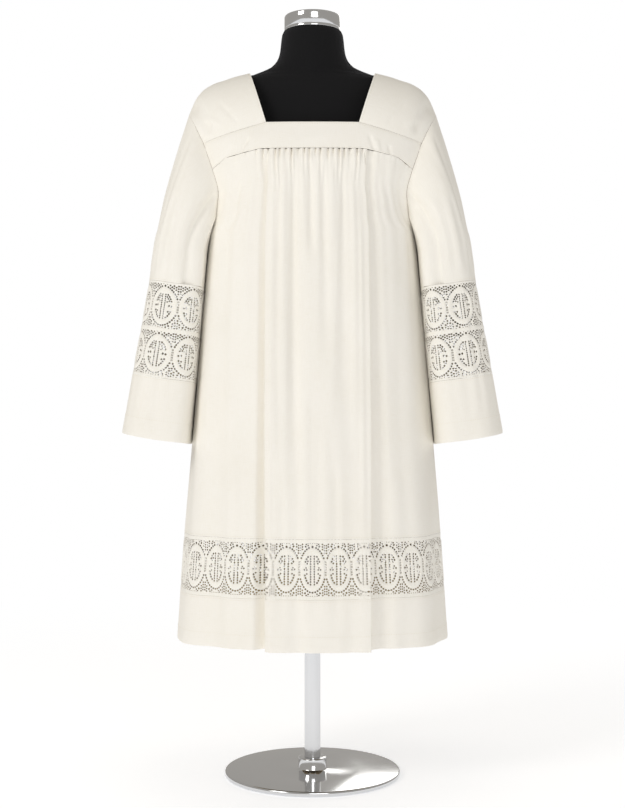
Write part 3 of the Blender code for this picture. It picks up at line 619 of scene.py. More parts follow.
# The yoke's band in front and behind: cut double, it lies a little proud of the gathers below
yokeCloth = {
    "bandProud": 0.0008,
    "bandThick": 0.0022,
    "pieceThick": 0.0012,
    "neckCorner": 0.089,
    "neckCornerColumn": 15 * 0.0115 / 2,
    # creases of the front band: x and height at both ends, half widths, height
    "frontCreases": [
        (-0.138, 1.220, -0.121, 1.250, 0.005, 0.008, -0.0024),
        (-0.134, 1.212, -0.104, 1.264, 0.007, 0.012, 0.0015),
        (0.118, 1.222, 0.108, 1.256, 0.004, 0.008, -0.0020),
        (0.128, 1.219, 0.122, 1.246, 0.005, 0.008, 0.0016),
        (0.150, 1.212, 0.146, 1.236, 0.004, 0.007, -0.0018),
        (-0.172, 1.205, -0.150, 1.236, 0.005, 0.010, -0.0010),
        (-0.040, 1.236, 0.046, 1.262, 0.012, 0.016, 0.0005),
    ],
    "backCreases": [
        (-0.132, 1.232, -0.110, 1.268, 0.006, 0.010, -0.0013),
        (0.126, 1.234, 0.112, 1.266, 0.006, 0.010, -0.0012),
        (0.050, 1.252, -0.040, 1.278, 0.014, 0.018, 0.0005),
    ],
    # creases of a shoulder piece: share from neck to armhole and place over the shoulder, at both ends
    "shoulderCreases": [
        (0.84, 0.06, 0.93, 0.78, 0.085, 0.110, -0.0050),
        (0.66, 0.10, 0.92, 0.34, 0.050, 0.070, 0.0014),
        (0.40, 0.06, 0.62, 0.38, 0.050, 0.070, -0.0012),
        (0.84, -0.08, 0.93, -0.74, 0.080, 0.110, -0.0042),
        (0.36, -0.10, 0.60, -0.44, 0.050, 0.080, 0.0012),
    ],
}


def bandTop(column):
    # distance from the middle at the band's upper seam, over a column of its lower seam
    keys = [0.0, yokeCloth["neckCornerColumn"], seamEnd]
    values = [0.0, yokeCloth["neckCorner"], bodyShape["shoulderSeam"][-1, 0]]
    return np.copysign(np.interp(np.abs(column), keys, values), column)


def bandPoint(column, share, face):
    low, lowHeight = seamPoint(column, face)
    high = bandTop(column)
    highHeight = seamHeight(bodyShape["shoulderSeam"], high, face) - bodyShape["seamGap"] / 2
    x = between(low, high, share)
    height = between(lowHeight + bodyShape["seamGap"], highHeight, share)
    normal = bodyNormal(x, height, face)
    base = np.stack([x, face * bodyDepth(x, height, face), height], -1)
    proud = yokeCloth["bandProud"] * (1.0 - 0.75 * ease(0.90, 1.0, np.abs(column) / seamEnd))
    proud = proud * np.where(np.abs(high) > yokeCloth["neckCorner"], 1.0 - ease(0.8, 1.0, share), 1.0)
    relief = proud + creaseRelief(x, height,
                                  yokeCloth["frontCreases" if face == front else "backCreases"])
    # the gathers below pull a shallow ripple into the band's lower edge
    ripple = 0.00025 * np.cos(2 * math.pi * column / bodyCloth["gatherPitch"]) * (1.0 - ease(0.0,
                                                                                             0.22, share))
    return base + normal * (relief + ripple * (np.abs(column) < 0.12))[:, None], normal


def addYokeBand(name, face, material):
    columns = np.linspace(-seamEnd, seamEnd, 193)
    shares = np.concatenate([[0.0, 0.02], np.linspace(0.08, 0.92, 15), [0.98, 1.0]])
    outer, normal = bandPoint(np.tile(columns, len(shares)), np.repeat(shares, len(columns)), face)
    faces = gridFaces(len(shares), len(columns))
    piece = addCloth(name, outer, outer - normal * yokeCloth["bandThick"], faces,
                     gridUv(outer, len(shares), len(columns)), material)
    return piece, layerArea(outer, len(shares), len(columns))


# Shoulder pieces, from the front band's seam over the shoulder to the back band's
shoulderLine = np.array([
    (0.1250, 1.396),
    (0.1570, 1.388),
    (0.1750, 1.382),
    (0.2010, 1.373),
    (0.2210, 1.359),
    (0.2320, 1.345),
    (0.2460, 1.314),
])


def shoulderPoint(share, turn, face):
    # share runs from the neck to the armhole, turn from the band's seam to the ridge
    lowOffset = between(yokeCloth["neckCorner"], bodyShape["shoulderSeam"][-1, 0], share)
    ridgeOffset = between(shoulderLine[0, 0], shoulderLine[-1, 0], share)
    lowHeight = seamHeight(bodyShape["shoulderSeam"], lowOffset, face)
    rise = np.sin(turn * math.pi / 2)
    height = between(lowHeight, smoothRead(shoulderLine, 1, ridgeOffset), rise)
    depth = bodyDepth(lowOffset, lowHeight, face) * np.cos(turn * math.pi / 2)
    return np.stack([between(lowOffset, ridgeOffset, rise), face * depth, height], -1)


def shoulderPath(share, turns):
    # turns from -1 at the front band's seam over 0 at the ridge to 1 at the back band's
    ahead = shoulderPoint(share, 1.0 - np.abs(turns), front)
    behind = shoulderPoint(share, 1.0 - np.abs(turns), back)
    return np.where((turns <= 0)[:, None], ahead, behind)


def addShoulderPiece(name, side, material):
    shares = np.linspace(0.0, 1.0, 46)
    turns = np.linspace(-1.0, 1.0, 73)
    rows, columns = len(shares), len(turns)
    share = np.repeat(shares, columns)
    turn = np.tile(turns, rows)
    outer = shoulderPath(share, turn)
    normal = gridNormals(outer, rows, columns)
    for end in (0, columns - 1):
        normal[end::columns, 2] = 0.0
    normal /= np.linalg.norm(normal, axis=-1, keepdims=True)
    normal = outwardFrom(normal, outer, np.array([0.165, 0.0, 1.250]))
    place = np.where(turn <= 0, 1.0 - np.abs(turn), -(1.0 - np.abs(turn)))
    edge = ease(0.0, 0.06, share) * ease(0.0, 0.06, 1.0 - share)
    edge = edge * ease(0.0, 0.06, 1.0 - np.abs(turn))
    outer = outer + normal * (creaseRelief(share, place, yokeCloth["shoulderCreases"]) * edge)[:, None]
    for end in (0, columns - 1):
        outer[end::columns, 2] += bodyShape["seamGap"] / 2
    # the neck edge is doubled
    thick = between(yokeCloth["bandThick"], yokeCloth["pieceThick"], ease(0.16, 0.20, share))
    inner = outer - normal * thick[:, None]
    flip = np.array([side, 1.0, 1.0])
    faces = gridFaces(rows, columns)
    piece = addCloth(name, outer * flip, inner * flip, faces, gridUv(outer, rows, columns), material)
    return piece, layerArea(outer, rows, columns)


# Sleeves: rings square to their own slope: height, middle, half width, half depth
sleeveShape = {
    "rings": np.array([
        (0.670, 0.3090, 0.0660, 0.112),
        (0.788, 0.2925, 0.0615, 0.109),
        (0.971, 0.2680, 0.0528, 0.104),
        (1.040, 0.2600, 0.0505, 0.103),
    ]),
    "tilt": math.radians(10.0),
    "twist": math.radians(8.0),
    "roundness": 2.2,
    "clearance": 0.0022,
    "top": 1.040,
    "laceTop": 0.971,
    "laceLow": 0.788,
    "hem": 0.670,
    "laceEdge": 0.0008,
    "seamOff": 0.0002,
    "seamLift": 0.0003,
    "thick": 0.0011,
    # the sleeve leans over the body's side: share round, half width of it, how far in and ahead
    "lean": [(0.400, 0.135, 0.016, -0.022), (0.600, 0.135, 0.016, 0.022)],
    "leanTop": (1.02, 1.14),
    "girth": 0.60,
    # creases: share of the way round from the outer edge by the front, height, at both ends;
    # half widths, height
    "creases": [
        (0.120, 1.270, 0.150, 1.060, 0.010, 0.020, -0.0026),
        (0.060, 1.300, 0.070, 1.090, 0.012, 0.020, 0.0018),
        (0.200, 1.150, 0.190, 0.985, 0.012, 0.018, -0.0026),
        (0.240, 1.120, 0.235, 0.985, 0.012, 0.016, 0.0022),
        (0.335, 1.190, 0.345, 0.880, 0.014, 0.020, -0.0080),
        (0.395, 1.170, 0.400, 0.900, 0.010, 0.018, 0.0030),
        (0.285, 1.150, 0.285, 0.960, 0.010, 0.014, 0.0030),
        (0.100, 1.080, 0.105, 0.985, 0.012, 0.018, 0.0016),
        (0.160, 1.060, 0.150, 0.980, 0.010, 0.016, -0.0016),
        (0.870, 1.260, 0.850, 1.060, 0.010, 0.020, -0.0026),
        (0.930, 1.290, 0.930, 1.080, 0.012, 0.020, 0.0016),
        (0.800, 1.150, 0.810, 0.985, 0.012, 0.018, -0.0024),
        (0.700, 1.120, 0.715, 0.985, 0.012, 0.018, 0.0026),
        (0.760, 1.110, 0.765, 0.985, 0.010, 0.016, -0.0018),
    ],
    "cuffCreases": [
        (0.130, 0.985, 0.140, 0.672, 0.012, 0.020, 0.0018),
        (0.215, 0.985, 0.225, 0.672, 0.012, 0.018, -0.0020),
        (0.060, 0.985, 0.055, 0.672, 0.012, 0.020, -0.0014),
        (0.310, 0.985, 0.300, 0.672, 0.012, 0.018, 0.0018),
        (0.780, 0.985, 0.790, 0.672, 0.012, 0.018, -0.0020),
        (0.880, 0.985, 0.875, 0.672, 0.012, 0.020, 0.0018),
        (0.690, 0.985, 0.680, 0.672, 0.012, 0.020, 0.0016),
    ],
}


def bodyReach(y, height):
    ahead, deepFront = bodySize(height, front)
    deepBack = bodySize(height, back)[1]
    depth = np.where(y < 0, deepFront, deepBack)
    n = bodyShape["roundness"]
    return ahead * power(1.0 - power(np.abs(y) / depth, n), 1.0 / n)


def clearOfBody(points):
    points = points.copy()
    nearest = bodyReach(points[..., 1], points[..., 2]) + sleeveShape["clearance"]
    low = points[..., 2] <= bodyShape["underarm"]
    points[..., 0] = np.where(low, np.maximum(points[..., 0], nearest), points[..., 0])
    return points


def sleeveRing(angle, height):
    # point of the sleeve below the armhole; angle 0 is its outer edge, a quarter turn the front
    height = np.asarray(height, float) + 0.0 * angle
    centre, halfWidth, halfDepth = (smoothRead(sleeveShape["rings"], i, height) for i in (1, 2, 3))
    bend = 2.0 / sleeveShape["roundness"]
    across = np.copysign(power(np.abs(np.cos(angle)), bend), np.cos(angle)) * halfWidth
    ahead = -np.copysign(power(np.abs(np.sin(angle)), bend), np.sin(angle)) * halfDepth
    twist, tilt = sleeveShape["twist"], sleeveShape["tilt"]
    turned = across * math.cos(twist) - ahead * math.sin(twist)
    y = across * math.sin(twist) + ahead * math.cos(twist)
    return clearOfBody(np.stack([centre + turned * math.cos(tilt), y,
                                 height + turned * math.sin(tilt)], -1))


def sleeveLean(angle, height):
    share = angle / (2 * math.pi) + 0.0 * height
    moved = np.zeros(np.shape(share) + (3,))
    hang = 1.0 - ease(*sleeveShape["leanTop"], height)
    for middle, half, inward, along in sleeveShape["lean"]:
        near = 0.5 * (1.0 + np.cos(math.pi * np.minimum(1.0, np.abs(share - middle) / half))) * hang
        moved[..., 0] -= near * inward
        moved[..., 1] += near * along
    return moved


def armholeStations():
    # the armhole's edge from the shoulder round the front, the underarm and the back, with
    # outward normals
    halves = []
    for face in (front, back):
        turns = np.linspace(1.0, 0.0, 21)
        yoke = shoulderPoint(np.ones(21), turns, face)
        rise = np.sin(turns * math.pi / 2)
        out = np.stack([between(0.62, 0.90, rise), face * np.cos(turns * math.pi / 2),
                        np.full(21, 0.3)], -1)
        bandShare = np.linspace(1.0, 0.0, 6)[1:]
        band, bandNormal = bandEdge(bandShare, face)
        heights = np.linspace(bodyShape["gatherSeam"][-1, 1], bodyShape["underarm"], 16)[1:]
        panel, panelNormal = bodyBase(np.full(15, seamEnd), heights, face)
        points = np.vstack([yoke, band, panel])
        normals = np.vstack([out, bandNormal, panelNormal])
        halves.append((points, normals / np.linalg.norm(normals, axis=-1, keepdims=True)))
    points = np.vstack([halves[0][0], halves[1][0][-2:0:-1]])
    normals = np.vstack([halves[0][1], halves[1][1][-2:0:-1]])
    return points, normals


def bandEdge(share, face):
    low, lowHeight = seamPoint(np.array([seamEnd]), face)
    high, highHeight = bodyShape["shoulderSeam"][-1, :2]
    x = between(low[0], high, share)
    height = between(lowHeight[0], highHeight, share)
    return np.stack([x, face * bodyDepth(x, height, face), height], -1), bodyNormal(x, height, face)


def stationAngles(points):
    steps = np.linalg.norm(np.roll(points, -1, 0) - points, axis=-1)
    half = len(points) // 2
    ahead, behind = steps[:half].sum(), steps[half:].sum()
    share = np.concatenate([steps[:half] / ahead, steps[half:] / behind]) * math.pi
    return np.concatenate([[0.0], np.cumsum(share)[:-1]])


def sleeveRelief(angle, height, creases, fade):
    girth = sleeveShape["girth"]
    share = angle / (2 * math.pi)
    total = np.zeros_like(share)
    for across0, up0, across1, up1, half0, half1, tall in creases:
        shifted = (share - 0.5 * (across0 + across1) + 0.5) % 1.0 - 0.5 + 0.5 * (across0 + across1)
        row = [(across0 * girth, up0, across1 * girth, up1, half0, half1, tall)]
        total = total + creaseRelief(shifted * girth, height, row)
    return total * fade


def upperSleeveGrid():
    stations, seamNormals = armholeStations()
    angles = stationAngles(stations)
    target = sleeveRing(angles, sleeveShape["top"])
    reach = np.linalg.norm(target - stations, axis=-1, keepdims=True)
    ahead = np.sin(angles)
    leave = np.stack([0.30 + 0.36 * ahead ** 6, -0.55 * ahead, -0.95 + 0.50 * ahead ** 4], -1)
    leave = leave / np.linalg.norm(leave, axis=-1, keepdims=True) * reach
    arrive = np.array([math.sin(sleeveShape["tilt"]), 0.0, -math.cos(sleeveShape["tilt"])]) * reach
    grid = []
    for t in np.concatenate([[0.0, 0.006, 0.018], np.linspace(0.04, 1.0, 38)]):
        ring = stations * (2 * t ** 3 - 3 * t ** 2 + 1) + leave * (t ** 3 - 2 * t ** 2 + t)
        ring = ring + target * (3 * t ** 2 - 2 * t ** 3) + arrive * (t ** 3 - t ** 2)
        grid.append(clearOfBody(ring) if t > 0 else ring)
    bottom = sleeveShape["laceTop"] + bodyShape["seamGap"] / 2
    for height in np.linspace(sleeveShape["top"], bottom, 11)[1:]:
        grid.append(sleeveRing(angles, height))
    return np.array(grid), angles, stations, seamNormals


def addUpperSleeve(name, side, material):
    grid, angles, stations, seamNormals = upperSleeveGrid()
    rows, columns = grid.shape[:2]
    points = grid.reshape(-1, 3)
    normal = gridNormals(points, rows, columns, closed=True).reshape(rows, columns, 3)
    middle = grid.mean(axis=1, keepdims=True)
    turned = (normal * (grid - middle)).sum(-1) < 0
    turned[0] = turned[3]
    normal[turned] *= -1
    # at the seam the sleeve starts beside the panel's edge and never turns in under it
    along = np.roll(stations, -1, 0) - np.roll(stations, 1, 0)
    along /= np.linalg.norm(along, axis=-1, keepdims=True)
    off = np.cross(seamNormals, along)
    toMiddle = np.array([0.220, 0.0, 1.197]) - stations
    off[(off * toMiddle).sum(-1) < 0] *= -1
    off -= along * (off * along).sum(-1, keepdims=True)
    off /= np.linalg.norm(off, axis=-1, keepdims=True)
    normal[0] -= off * np.maximum(0.0, (normal[0] * off).sum(-1, keepdims=True))
    normal[0] /= np.linalg.norm(normal[0], axis=-1, keepdims=True)
    step = grid[4] - stations
    step /= np.linalg.norm(step, axis=-1, keepdims=True)
    behind = np.maximum(0.0, -(step * off).sum(-1, keepdims=True))
    grid[0] += off * sleeveShape["seamOff"] + seamNormals * sleeveShape["seamLift"] * behind
    heights = grid[..., 2]
    fade = np.zeros((rows, 1))
    fade[:, 0] = ease(0.0, 8.0, np.arange(rows))
    relief = sleeveRelief(np.broadcast_to(angles, heights.shape), heights, sleeveShape["creases"], fade)
    relief = relief + sleeveRelief(np.broadcast_to(angles, heights.shape), heights,
                                   sleeveShape["cuffCreases"], fade)
    grid = clearOfBody(grid + normal * relief[..., None] + sleeveLean(angles, heights))
    inner = grid - normal * sleeveShape["thick"]
    flip = np.array([side, 1.0, 1.0])
    outer = grid.reshape(-1, 3)
    faces = gridFaces(rows, columns, closed=True)
    piece = addCloth(name, outer * flip, inner.reshape(-1, 3) * flip, faces,
                     gridUv(outer, rows, columns), material)
    return piece, layerArea(outer, rows, columns, closed=True)


def evenAngles(height):
    # angles of the sleeve ring at even shares of its length round
    angles = np.linspace(0.0, 2 * math.pi, 481)
    ring = sleeveRing(angles, height)
    lengths = np.concatenate([[0.0], np.cumsum(np.linalg.norm(np.diff(ring, axis=0), axis=-1))])
    return lengths / lengths[-1], angles, lengths[-1]


def tubeSheet(share, height, table):
    # point and outward normal of the sleeve's lower part, with its creases
    angle = np.interp(share, table[0], table[1])
    point = sleeveRing(angle, height)
    around = sleeveRing(angle + 0.02, height) - sleeveRing(angle - 0.02, height)
    down = sleeveRing(angle, height - 0.02) - sleeveRing(angle, height + 0.02)
    normal = np.cross(around, down)
    normal /= np.linalg.norm(normal, axis=-1, keepdims=True)
    centre = np.stack([smoothRead(sleeveShape["rings"], 1, height), 0.0 * height, height], -1)
    normal = outwardFrom(normal, point, centre)
    relief = sleeveRelief(angle, height, sleeveShape["cuffCreases"], 1.0)
    return clearOfBody(point + normal * relief[..., None] + sleeveLean(angle, height)), normal


cuffCloth = {
    "columns": 150,
    "rows": 26,
    "turnUp": 0.040,
    "turnThick": 0.0019,
}


def addCuff(name, side, material):
    columns, rows = cuffCloth["columns"], cuffCloth["rows"]
    middle = between(sleeveShape["laceLow"], sleeveShape["hem"], 0.5)
    table = evenAngles(middle)
    top = sleeveShape["laceLow"] - bodyShape["seamGap"] / 2
    heights = np.repeat(np.linspace(top, sleeveShape["hem"], rows), columns)
    outer, normal = tubeSheet(np.tile(np.arange(columns) / columns, rows), heights, table)
    turnTop = sleeveShape["hem"] + cuffCloth["turnUp"]
    turned = 1.0 - ease(turnTop - 0.002, turnTop, heights)
    thick = between(sleeveShape["thick"], cuffCloth["turnThick"], turned)
    outer = outer + normal * (0.0003 * turned)[:, None]
    flip = np.array([side, 1.0, 1.0])
    inner = outer - normal * thick[:, None]
    faces = gridFaces(rows, columns, closed=True)
    piece = addCloth(name, outer * flip, inner * flip, faces,
                     gridUv(outer, rows, columns), material, soften=0.36)
    return piece, layerArea(outer, rows, columns, closed=True)


# Lace: one repeat holds an oval with a bar and two scrolls, and nets round it. All in millimetres.
laceRepeats = {
    "hem": {
        "repeats": 15, "rows": 1, "width": 50.3, "height": 111.7,
        "ovalWide": 46.2, "ovalTall": 80.0, "ringSide": 5.4, "ringEnd": 9.0,
        "tapeTop": 6.5, "tapeLow": 6.5, "ovalUp": 0.0, "netGap": 3.2, "netPitch": 4.7,
    },
    "sleeve": {
        "repeats": 5, "rows": 2, "width": 57.0, "height": 91.2,
        "ovalWide": 52.4, "ovalTall": 71.0, "ringSide": 6.2, "ringEnd": 8.4,
        "tapeTop": 3.6, "tapeLow": 3.6, "ovalUp": 0.0, "netGap": 3.4, "netPitch": 4.9,
    },
}
laceCloth = {
    "netThick": 0.0006,
    "tapeRise": 0.0009,         # the woven tapes stand this far proud of the net
    "cordRise": 0.0005,         # and a cord runs along both edges of the ring
    "barHalf": 1.9,
    "scrollHalf": 1.35,
    "leastThread": 0.65,        # thread left between two gaps
    "sides": 6,
    # scroll beside the bar, in shares of the oval's inner half width and half height
    "scroll": [(0.44, -0.66), (0.44, -0.30), (0.45, 0.02), (0.53, 0.19), (0.70, 0.25), (0.93, 0.16)],
    "curl": [(0.93, -0.24), (0.78, -0.20), (0.66, -0.12)],
}


def polyline(points, step):
    # points at even steps along a smooth line through the given ones
    points = np.array(points, float)
    lengths = np.concatenate([[0.0], np.cumsum(np.linalg.norm(np.diff(points, axis=0), axis=1))])
    table = [np.column_stack([lengths, points[:, axis]]) for axis in range(points.shape[1])]
    places = np.linspace(0.0, lengths[-1], max(2, int(round(lengths[-1] / step)) + 1))
    return np.stack([smoothRead(column, 1, places) for column in table], -1)


def lineDistance(x, y, line):
    # distance of places from a line of points
    start, end = line[:-1], line[1:]
    run = end - start
    away = np.full(np.shape(x), 1e9)
    for (ax, ay), (rx, ry) in zip(start, run):
        t = np.clip(((x - ax) * rx + (y - ay) * ry) / (rx * rx + ry * ry + 1e-12), 0.0, 1.0)
        away = np.minimum(away, np.hypot(x - ax - rx * t, y - ay - ry * t))
    return away


def ovalDistance(x, y, axes):
    # distance from an oval, more than 0 outside it
    share = np.hypot(x / axes[0], y / axes[1])
    slope = np.hypot(x / axes[0] ** 2, y / axes[1] ** 2) / np.maximum(share, 1e-6)
    return (share - 1.0) / np.maximum(slope, 1.0 / axes[1])


class LaceRepeat:
    # collects the gaps of one repeat, each placed only where it leaves enough thread round it

    def __init__(self, size):
        self.size = size
        self.halfWide, self.halfTall = size["width"] / 2, size["height"] / 2
        self.outer = (size["ovalWide"] / 2, size["ovalTall"] / 2)
        self.inner = (self.outer[0] - size["ringSide"], self.outer[1] - size["ringEnd"])
        self.up = size["ovalUp"]
        self.top = self.halfTall - size["tapeTop"]
        self.low = -self.halfTall + size["tapeLow"]
        self.scrolls = []
        for line in (laceCloth["scroll"], laceCloth["curl"]):
            right = polyline([(x * self.inner[0], y * self.inner[1]) for x, y in line], 1.6)
            self.scrolls += [right, right * np.array([-1.0, 1.0])]
        self.gaps = []

    def reach(self, gap, aim):
        # half the width of a gap in one direction
        wide, tall, turn = gap[2:5]
        across = math.cos(aim - turn) / (wide / 2)
        along = math.sin(aim - turn) / (tall / 2)
        return 1.0 / math.hypot(across, along)

    def fits(self, gap):
        x, y = gap[:2]
        if abs(x) + self.reach(gap, 0.0) > self.halfWide - 0.30:
            return False
        if y + self.reach(gap, math.pi / 2) > self.top or y - self.reach(gap, math.pi / 2) < self.low:
            return False
        ovalY = y - self.up
        within = -ovalDistance(x, ovalY, self.inner)
        outside = ovalDistance(x, ovalY, self.outer)
        towards = math.atan2(ovalY / self.outer[1] ** 2, x / self.outer[0] ** 2)
        if max(within, outside) < self.reach(gap, towards) + 0.15:
            return False
        if within > 0:
            if abs(x) - self.reach(gap, 0.0) < laceCloth["barHalf"]:
                return False
            room = min(gap[2], gap[3]) / 2 + laceCloth["scrollHalf"]
            for scroll in self.scrolls:
                if lineDistance(x, ovalY, scroll) < room:
                    return False
        for other in self.gaps:
            apart = math.hypot(x - other[0], y - other[1])
            if apart > 12.0:
                continue
            if apart < 1e-6:
                return False
            aim = math.atan2(y - other[1], x - other[0])
            if apart < self.reach(gap, aim) + self.reach(other, aim) + laceCloth["leastThread"]:
                return False
        return True

    def add(self, x, y, wide, tall, turn=0.0):
        # a gap and its mirror image in the bar
        for side in ((1,) if x == 0 else (1, -1)):
            gap = (side * x, y, wide, tall, side * turn)
            if self.fits(gap):
                self.gaps.append(gap)

    def ovalRow(self, axes, grow, step, wide, tall, start, end, flips=(1, -1)):
        # a row of gaps along an oval, from its side up to its top, and the same downwards
        angles = np.linspace(0.0, math.pi / 2, 200)
        line = np.stack([(axes[0] + grow) * np.cos(angles), (axes[1] + grow) * np.sin(angles)], -1)
        lengths = np.concatenate([[0.0], np.cumsum(np.linalg.norm(np.diff(line, axis=0), axis=1))])
        first, last = np.interp([start, end], angles, lengths)
        count = max(1, int(round((last - first) / step)))
        for place in np.linspace(last, first, count + 1):
            x, y = (float(np.interp(place, lengths, line[:, axis])) for axis in (0, 1))
            x = 0.0 if x < 0.05 else x
            angle = float(np.interp(place, lengths, angles))
            turn = math.atan2((axes[1] + grow) * math.cos(angle), -(axes[0] + grow) * math.sin(angle))
            for flip in flips:
                self.add(x, self.up + flip * y, wide, tall, flip * turn)

    def loop(self, gap):
        x, y, wide, tall, turn = gap
        angles = (np.arange(laceCloth["sides"]) + 0.5) * 2 * math.pi / laceCloth["sides"]
        # a little squarer than an oval
        px = wide / 2 * np.sign(np.cos(angles)) * np.abs(np.cos(angles)) ** 0.8
        py = tall / 2 * np.sign(np.sin(angles)) * np.abs(np.sin(angles)) ** 0.8
        return np.stack([x + px * math.cos(turn) - py * math.sin(turn),
                         y + px * math.sin(turn) + py * math.cos(turn)], -1)


def fillRepeat(size):
    lace = LaceRepeat(size)
    a, b = lace.inner
    outerA, outerB = lace.outer
    halfTurn = math.pi / 2
    # inside the oval: tall gaps beside the bar, a row round the ring, then the ground beside the scroll
    for y in np.arange(-0.87, 0.90, 0.152):
        lace.add(laceCloth["barHalf"] + 1.7, lace.up + y * b, 3.2, 0.125 * b)
    lace.ovalRow(lace.inner, -2.1, 4.9, 4.0, 3.5, 0.0, halfTurn)
    lace.ovalRow(lace.inner, -6.1, 4.4, 3.6, 3.3, 0.30, halfTurn)
    lace.add(0.66 * a, lace.up + 0.03 * b, 3.2, 4.6)
    for x in (0.30, 0.42, 0.62, 0.70, 0.78):
        for y in np.arange(-0.90, 0.92, 0.06):
            lace.add(x * a, lace.up + y * b, 3.0, 3.2)
    # outside it: a row over and under it, and a ladder of slits to the next oval
    lace.add(0.0, lace.up + outerB + 2.6, 4.4, 4.4)
    lace.ovalRow(lace.outer, 2.2, 4.9, 4.0, 3.5, 0.30, 1.48, (1,))
    lace.ovalRow(lace.outer, 2.2, 4.9, 4.0, 3.5, 0.30, halfTurn, (-1,))
    for y in np.arange(-14.4, 14.5, 4.8):
        lace.add(lace.halfWide - 0.30 - 0.65, lace.up + y, 1.3, 4.0)
    # slanted lines of larger gaps from its shoulders to both tapes
    for t in np.linspace(0.0, 1.0, 3):
        lace.add(between(0.50, 0.56, t) * lace.halfWide,
                 between(lace.up + 0.94 * outerB + 1.5, lace.top - 2.2, t),
                 4.3, 3.4, 0.75)
        lace.add(between(0.52, 0.62, t) * lace.halfWide,
                 between(lace.up - 0.94 * outerB - 1.5, lace.low + 2.2, t),
                 4.3, 3.6, -0.75)
    # square net between the ovals
    pitch = size["netPitch"]
    for i, x in enumerate(np.arange(lace.halfWide - 2.05, 0.2 * lace.halfWide, -pitch * 0.78)):
        for y in np.arange(0.30 * outerB, lace.halfTall, pitch):
            lace.add(x, lace.up + y + 0.5 * pitch * (i % 2), size["netGap"], size["netGap"])
            lace.add(x, lace.up - y - 0.5 * pitch * (i % 2), size["netGap"], size["netGap"])
    # small slits along both tapes
    for x in np.arange(0.0, lace.halfWide, 4.4):
        lace.add(x, lace.top - 0.8, 2.6, 1.3)
        lace.add(x, lace.low + 0.8, 2.6, 1.3)
    return lace


def repeatMesh(size):
    # flat triangles of one repeat with its gaps left out, and how proud each corner stands
    lace = fillRepeat(size)
    points = []
    edges = []

    def addLine(line, closed):
        start = len(points)
        points.extend(line.tolist())
        for i in range(len(line) - (0 if closed else 1)):
            edges.append((start + i, start + (i + 1) % len(line)))

    halfW, halfH = lace.halfWide, lace.halfTall
    across = np.linspace(-halfW, halfW, 15)
    upright = np.linspace(-halfH, halfH, 25)
    border = [(x, -halfH) for x in across] + [(halfW, y) for y in upright[1:]]
    border += [(x, halfH) for x in across[::-1][1:]] + [(-halfW, y) for y in upright[::-1][1:-1]]
    addLine(np.array(border), True)
    for gap in lace.gaps:
        addLine(lace.loop(gap), True)
    angles = np.linspace(0.0, 2 * math.pi, 56, endpoint=False)
    for share, count in ((0.10, 56), (0.5, 56), (0.90, 56)):
        axes = [between(lace.inner[i], lace.outer[i], share) for i in (0, 1)]
        addLine(np.stack([axes[0] * np.cos(angles), lace.up + axes[1] * np.sin(angles)], -1), True)
    bar = np.arange(-lace.inner[1] + 1.0, lace.inner[1] - 0.9, 4.0)
    addLine(np.stack([0 * bar, lace.up + bar], -1), False)
    for scroll in lace.scrolls:
        addLine(scroll + np.array([0.0, lace.up]), False)
    for y in (halfH - size["tapeTop"] / 2, -halfH + size["tapeLow"] / 2):
        addLine(np.stack([across[1:-1], 0 * across[1:-1] + y], -1), False)
    made = delaunay_2d_cdt([Vector(p) for p in points], edges, [], 0, 1e-5)
    corners = np.array([(p.x, p.y) for p in made[0]])
    triangles = np.array([tuple(face) for face in made[2] if len(face) == 3])
    middles = corners[triangles].mean(axis=1)
    keep = np.ones(len(triangles), bool)
    for gap in lace.gaps:
        x, y, wide, tall = gap[:4]
        loop = lace.loop(gap)
        near = np.hypot(middles[:, 0] - x, middles[:, 1] - y) < max(wide, tall)
        for i in np.nonzero(near & keep)[0]:
            keep[i] = not insideLoop(middles[i], loop)
    return corners, triangles[keep], tapeRise(corners, lace)


def insideLoop(place, loop):
    nextOnes = np.roll(loop, -1, 0)
    crosses = (loop[:, 1] > place[1]) != (nextOnes[:, 1] > place[1])
    slope = (place[1] - loop[:, 1]) / np.where(crosses, nextOnes[:, 1] - loop[:, 1], 1.0)
    hits = crosses & (place[0] < loop[:, 0] + slope * (nextOnes[:, 0] - loop[:, 0]))
    return hits.sum() % 2 == 1


def tapeRise(corners, lace):
    # height of the woven tapes over the net, in metres
    x, y = corners[:, 0], corners[:, 1]
    outside = ovalDistance(x, y - lace.up, lace.outer)
    within = ovalDistance(x, y - lace.up, lace.inner)
    share = within / np.maximum(1e-6, within - outside)
    onRing = (within >= 0.0) & (outside <= 0.0)
    ring = np.where(onRing, np.sin(np.clip(share, 0, 1) * math.pi) ** 0.5, 0.0)
    cords = np.where(onRing,
                     np.exp(-((share - 0.10) / 0.09) ** 2) + np.exp(-((share - 0.90) / 0.09) ** 2), 0.0)
    inOval = within < 0.0
    bar = np.where(inOval, 1.0 - ease(0.3, laceCloth["barHalf"], np.abs(x)), 0.0)
    scroll = np.zeros_like(x)
    for line in lace.scrolls:
        away = lineDistance(x, y - lace.up, line)
        scroll = np.maximum(scroll,
                            np.where(inOval, 1.0 - ease(0.2, laceCloth["scrollHalf"] + 0.2, away), 0.0))
    edge = np.maximum(ease(lace.halfTall - lace.size["tapeTop"] - 0.2,
                           lace.halfTall - lace.size["tapeTop"] + 1.2, y),
                      ease(lace.halfTall - lace.size["tapeLow"] - 0.2,
                           lace.halfTall - lace.size["tapeLow"] + 1.2, -y))
    tape = np.maximum.reduce([ring, bar, scroll, 0.7 * edge])
    return tape * laceCloth["tapeRise"] + cords * laceCloth["cordRise"]


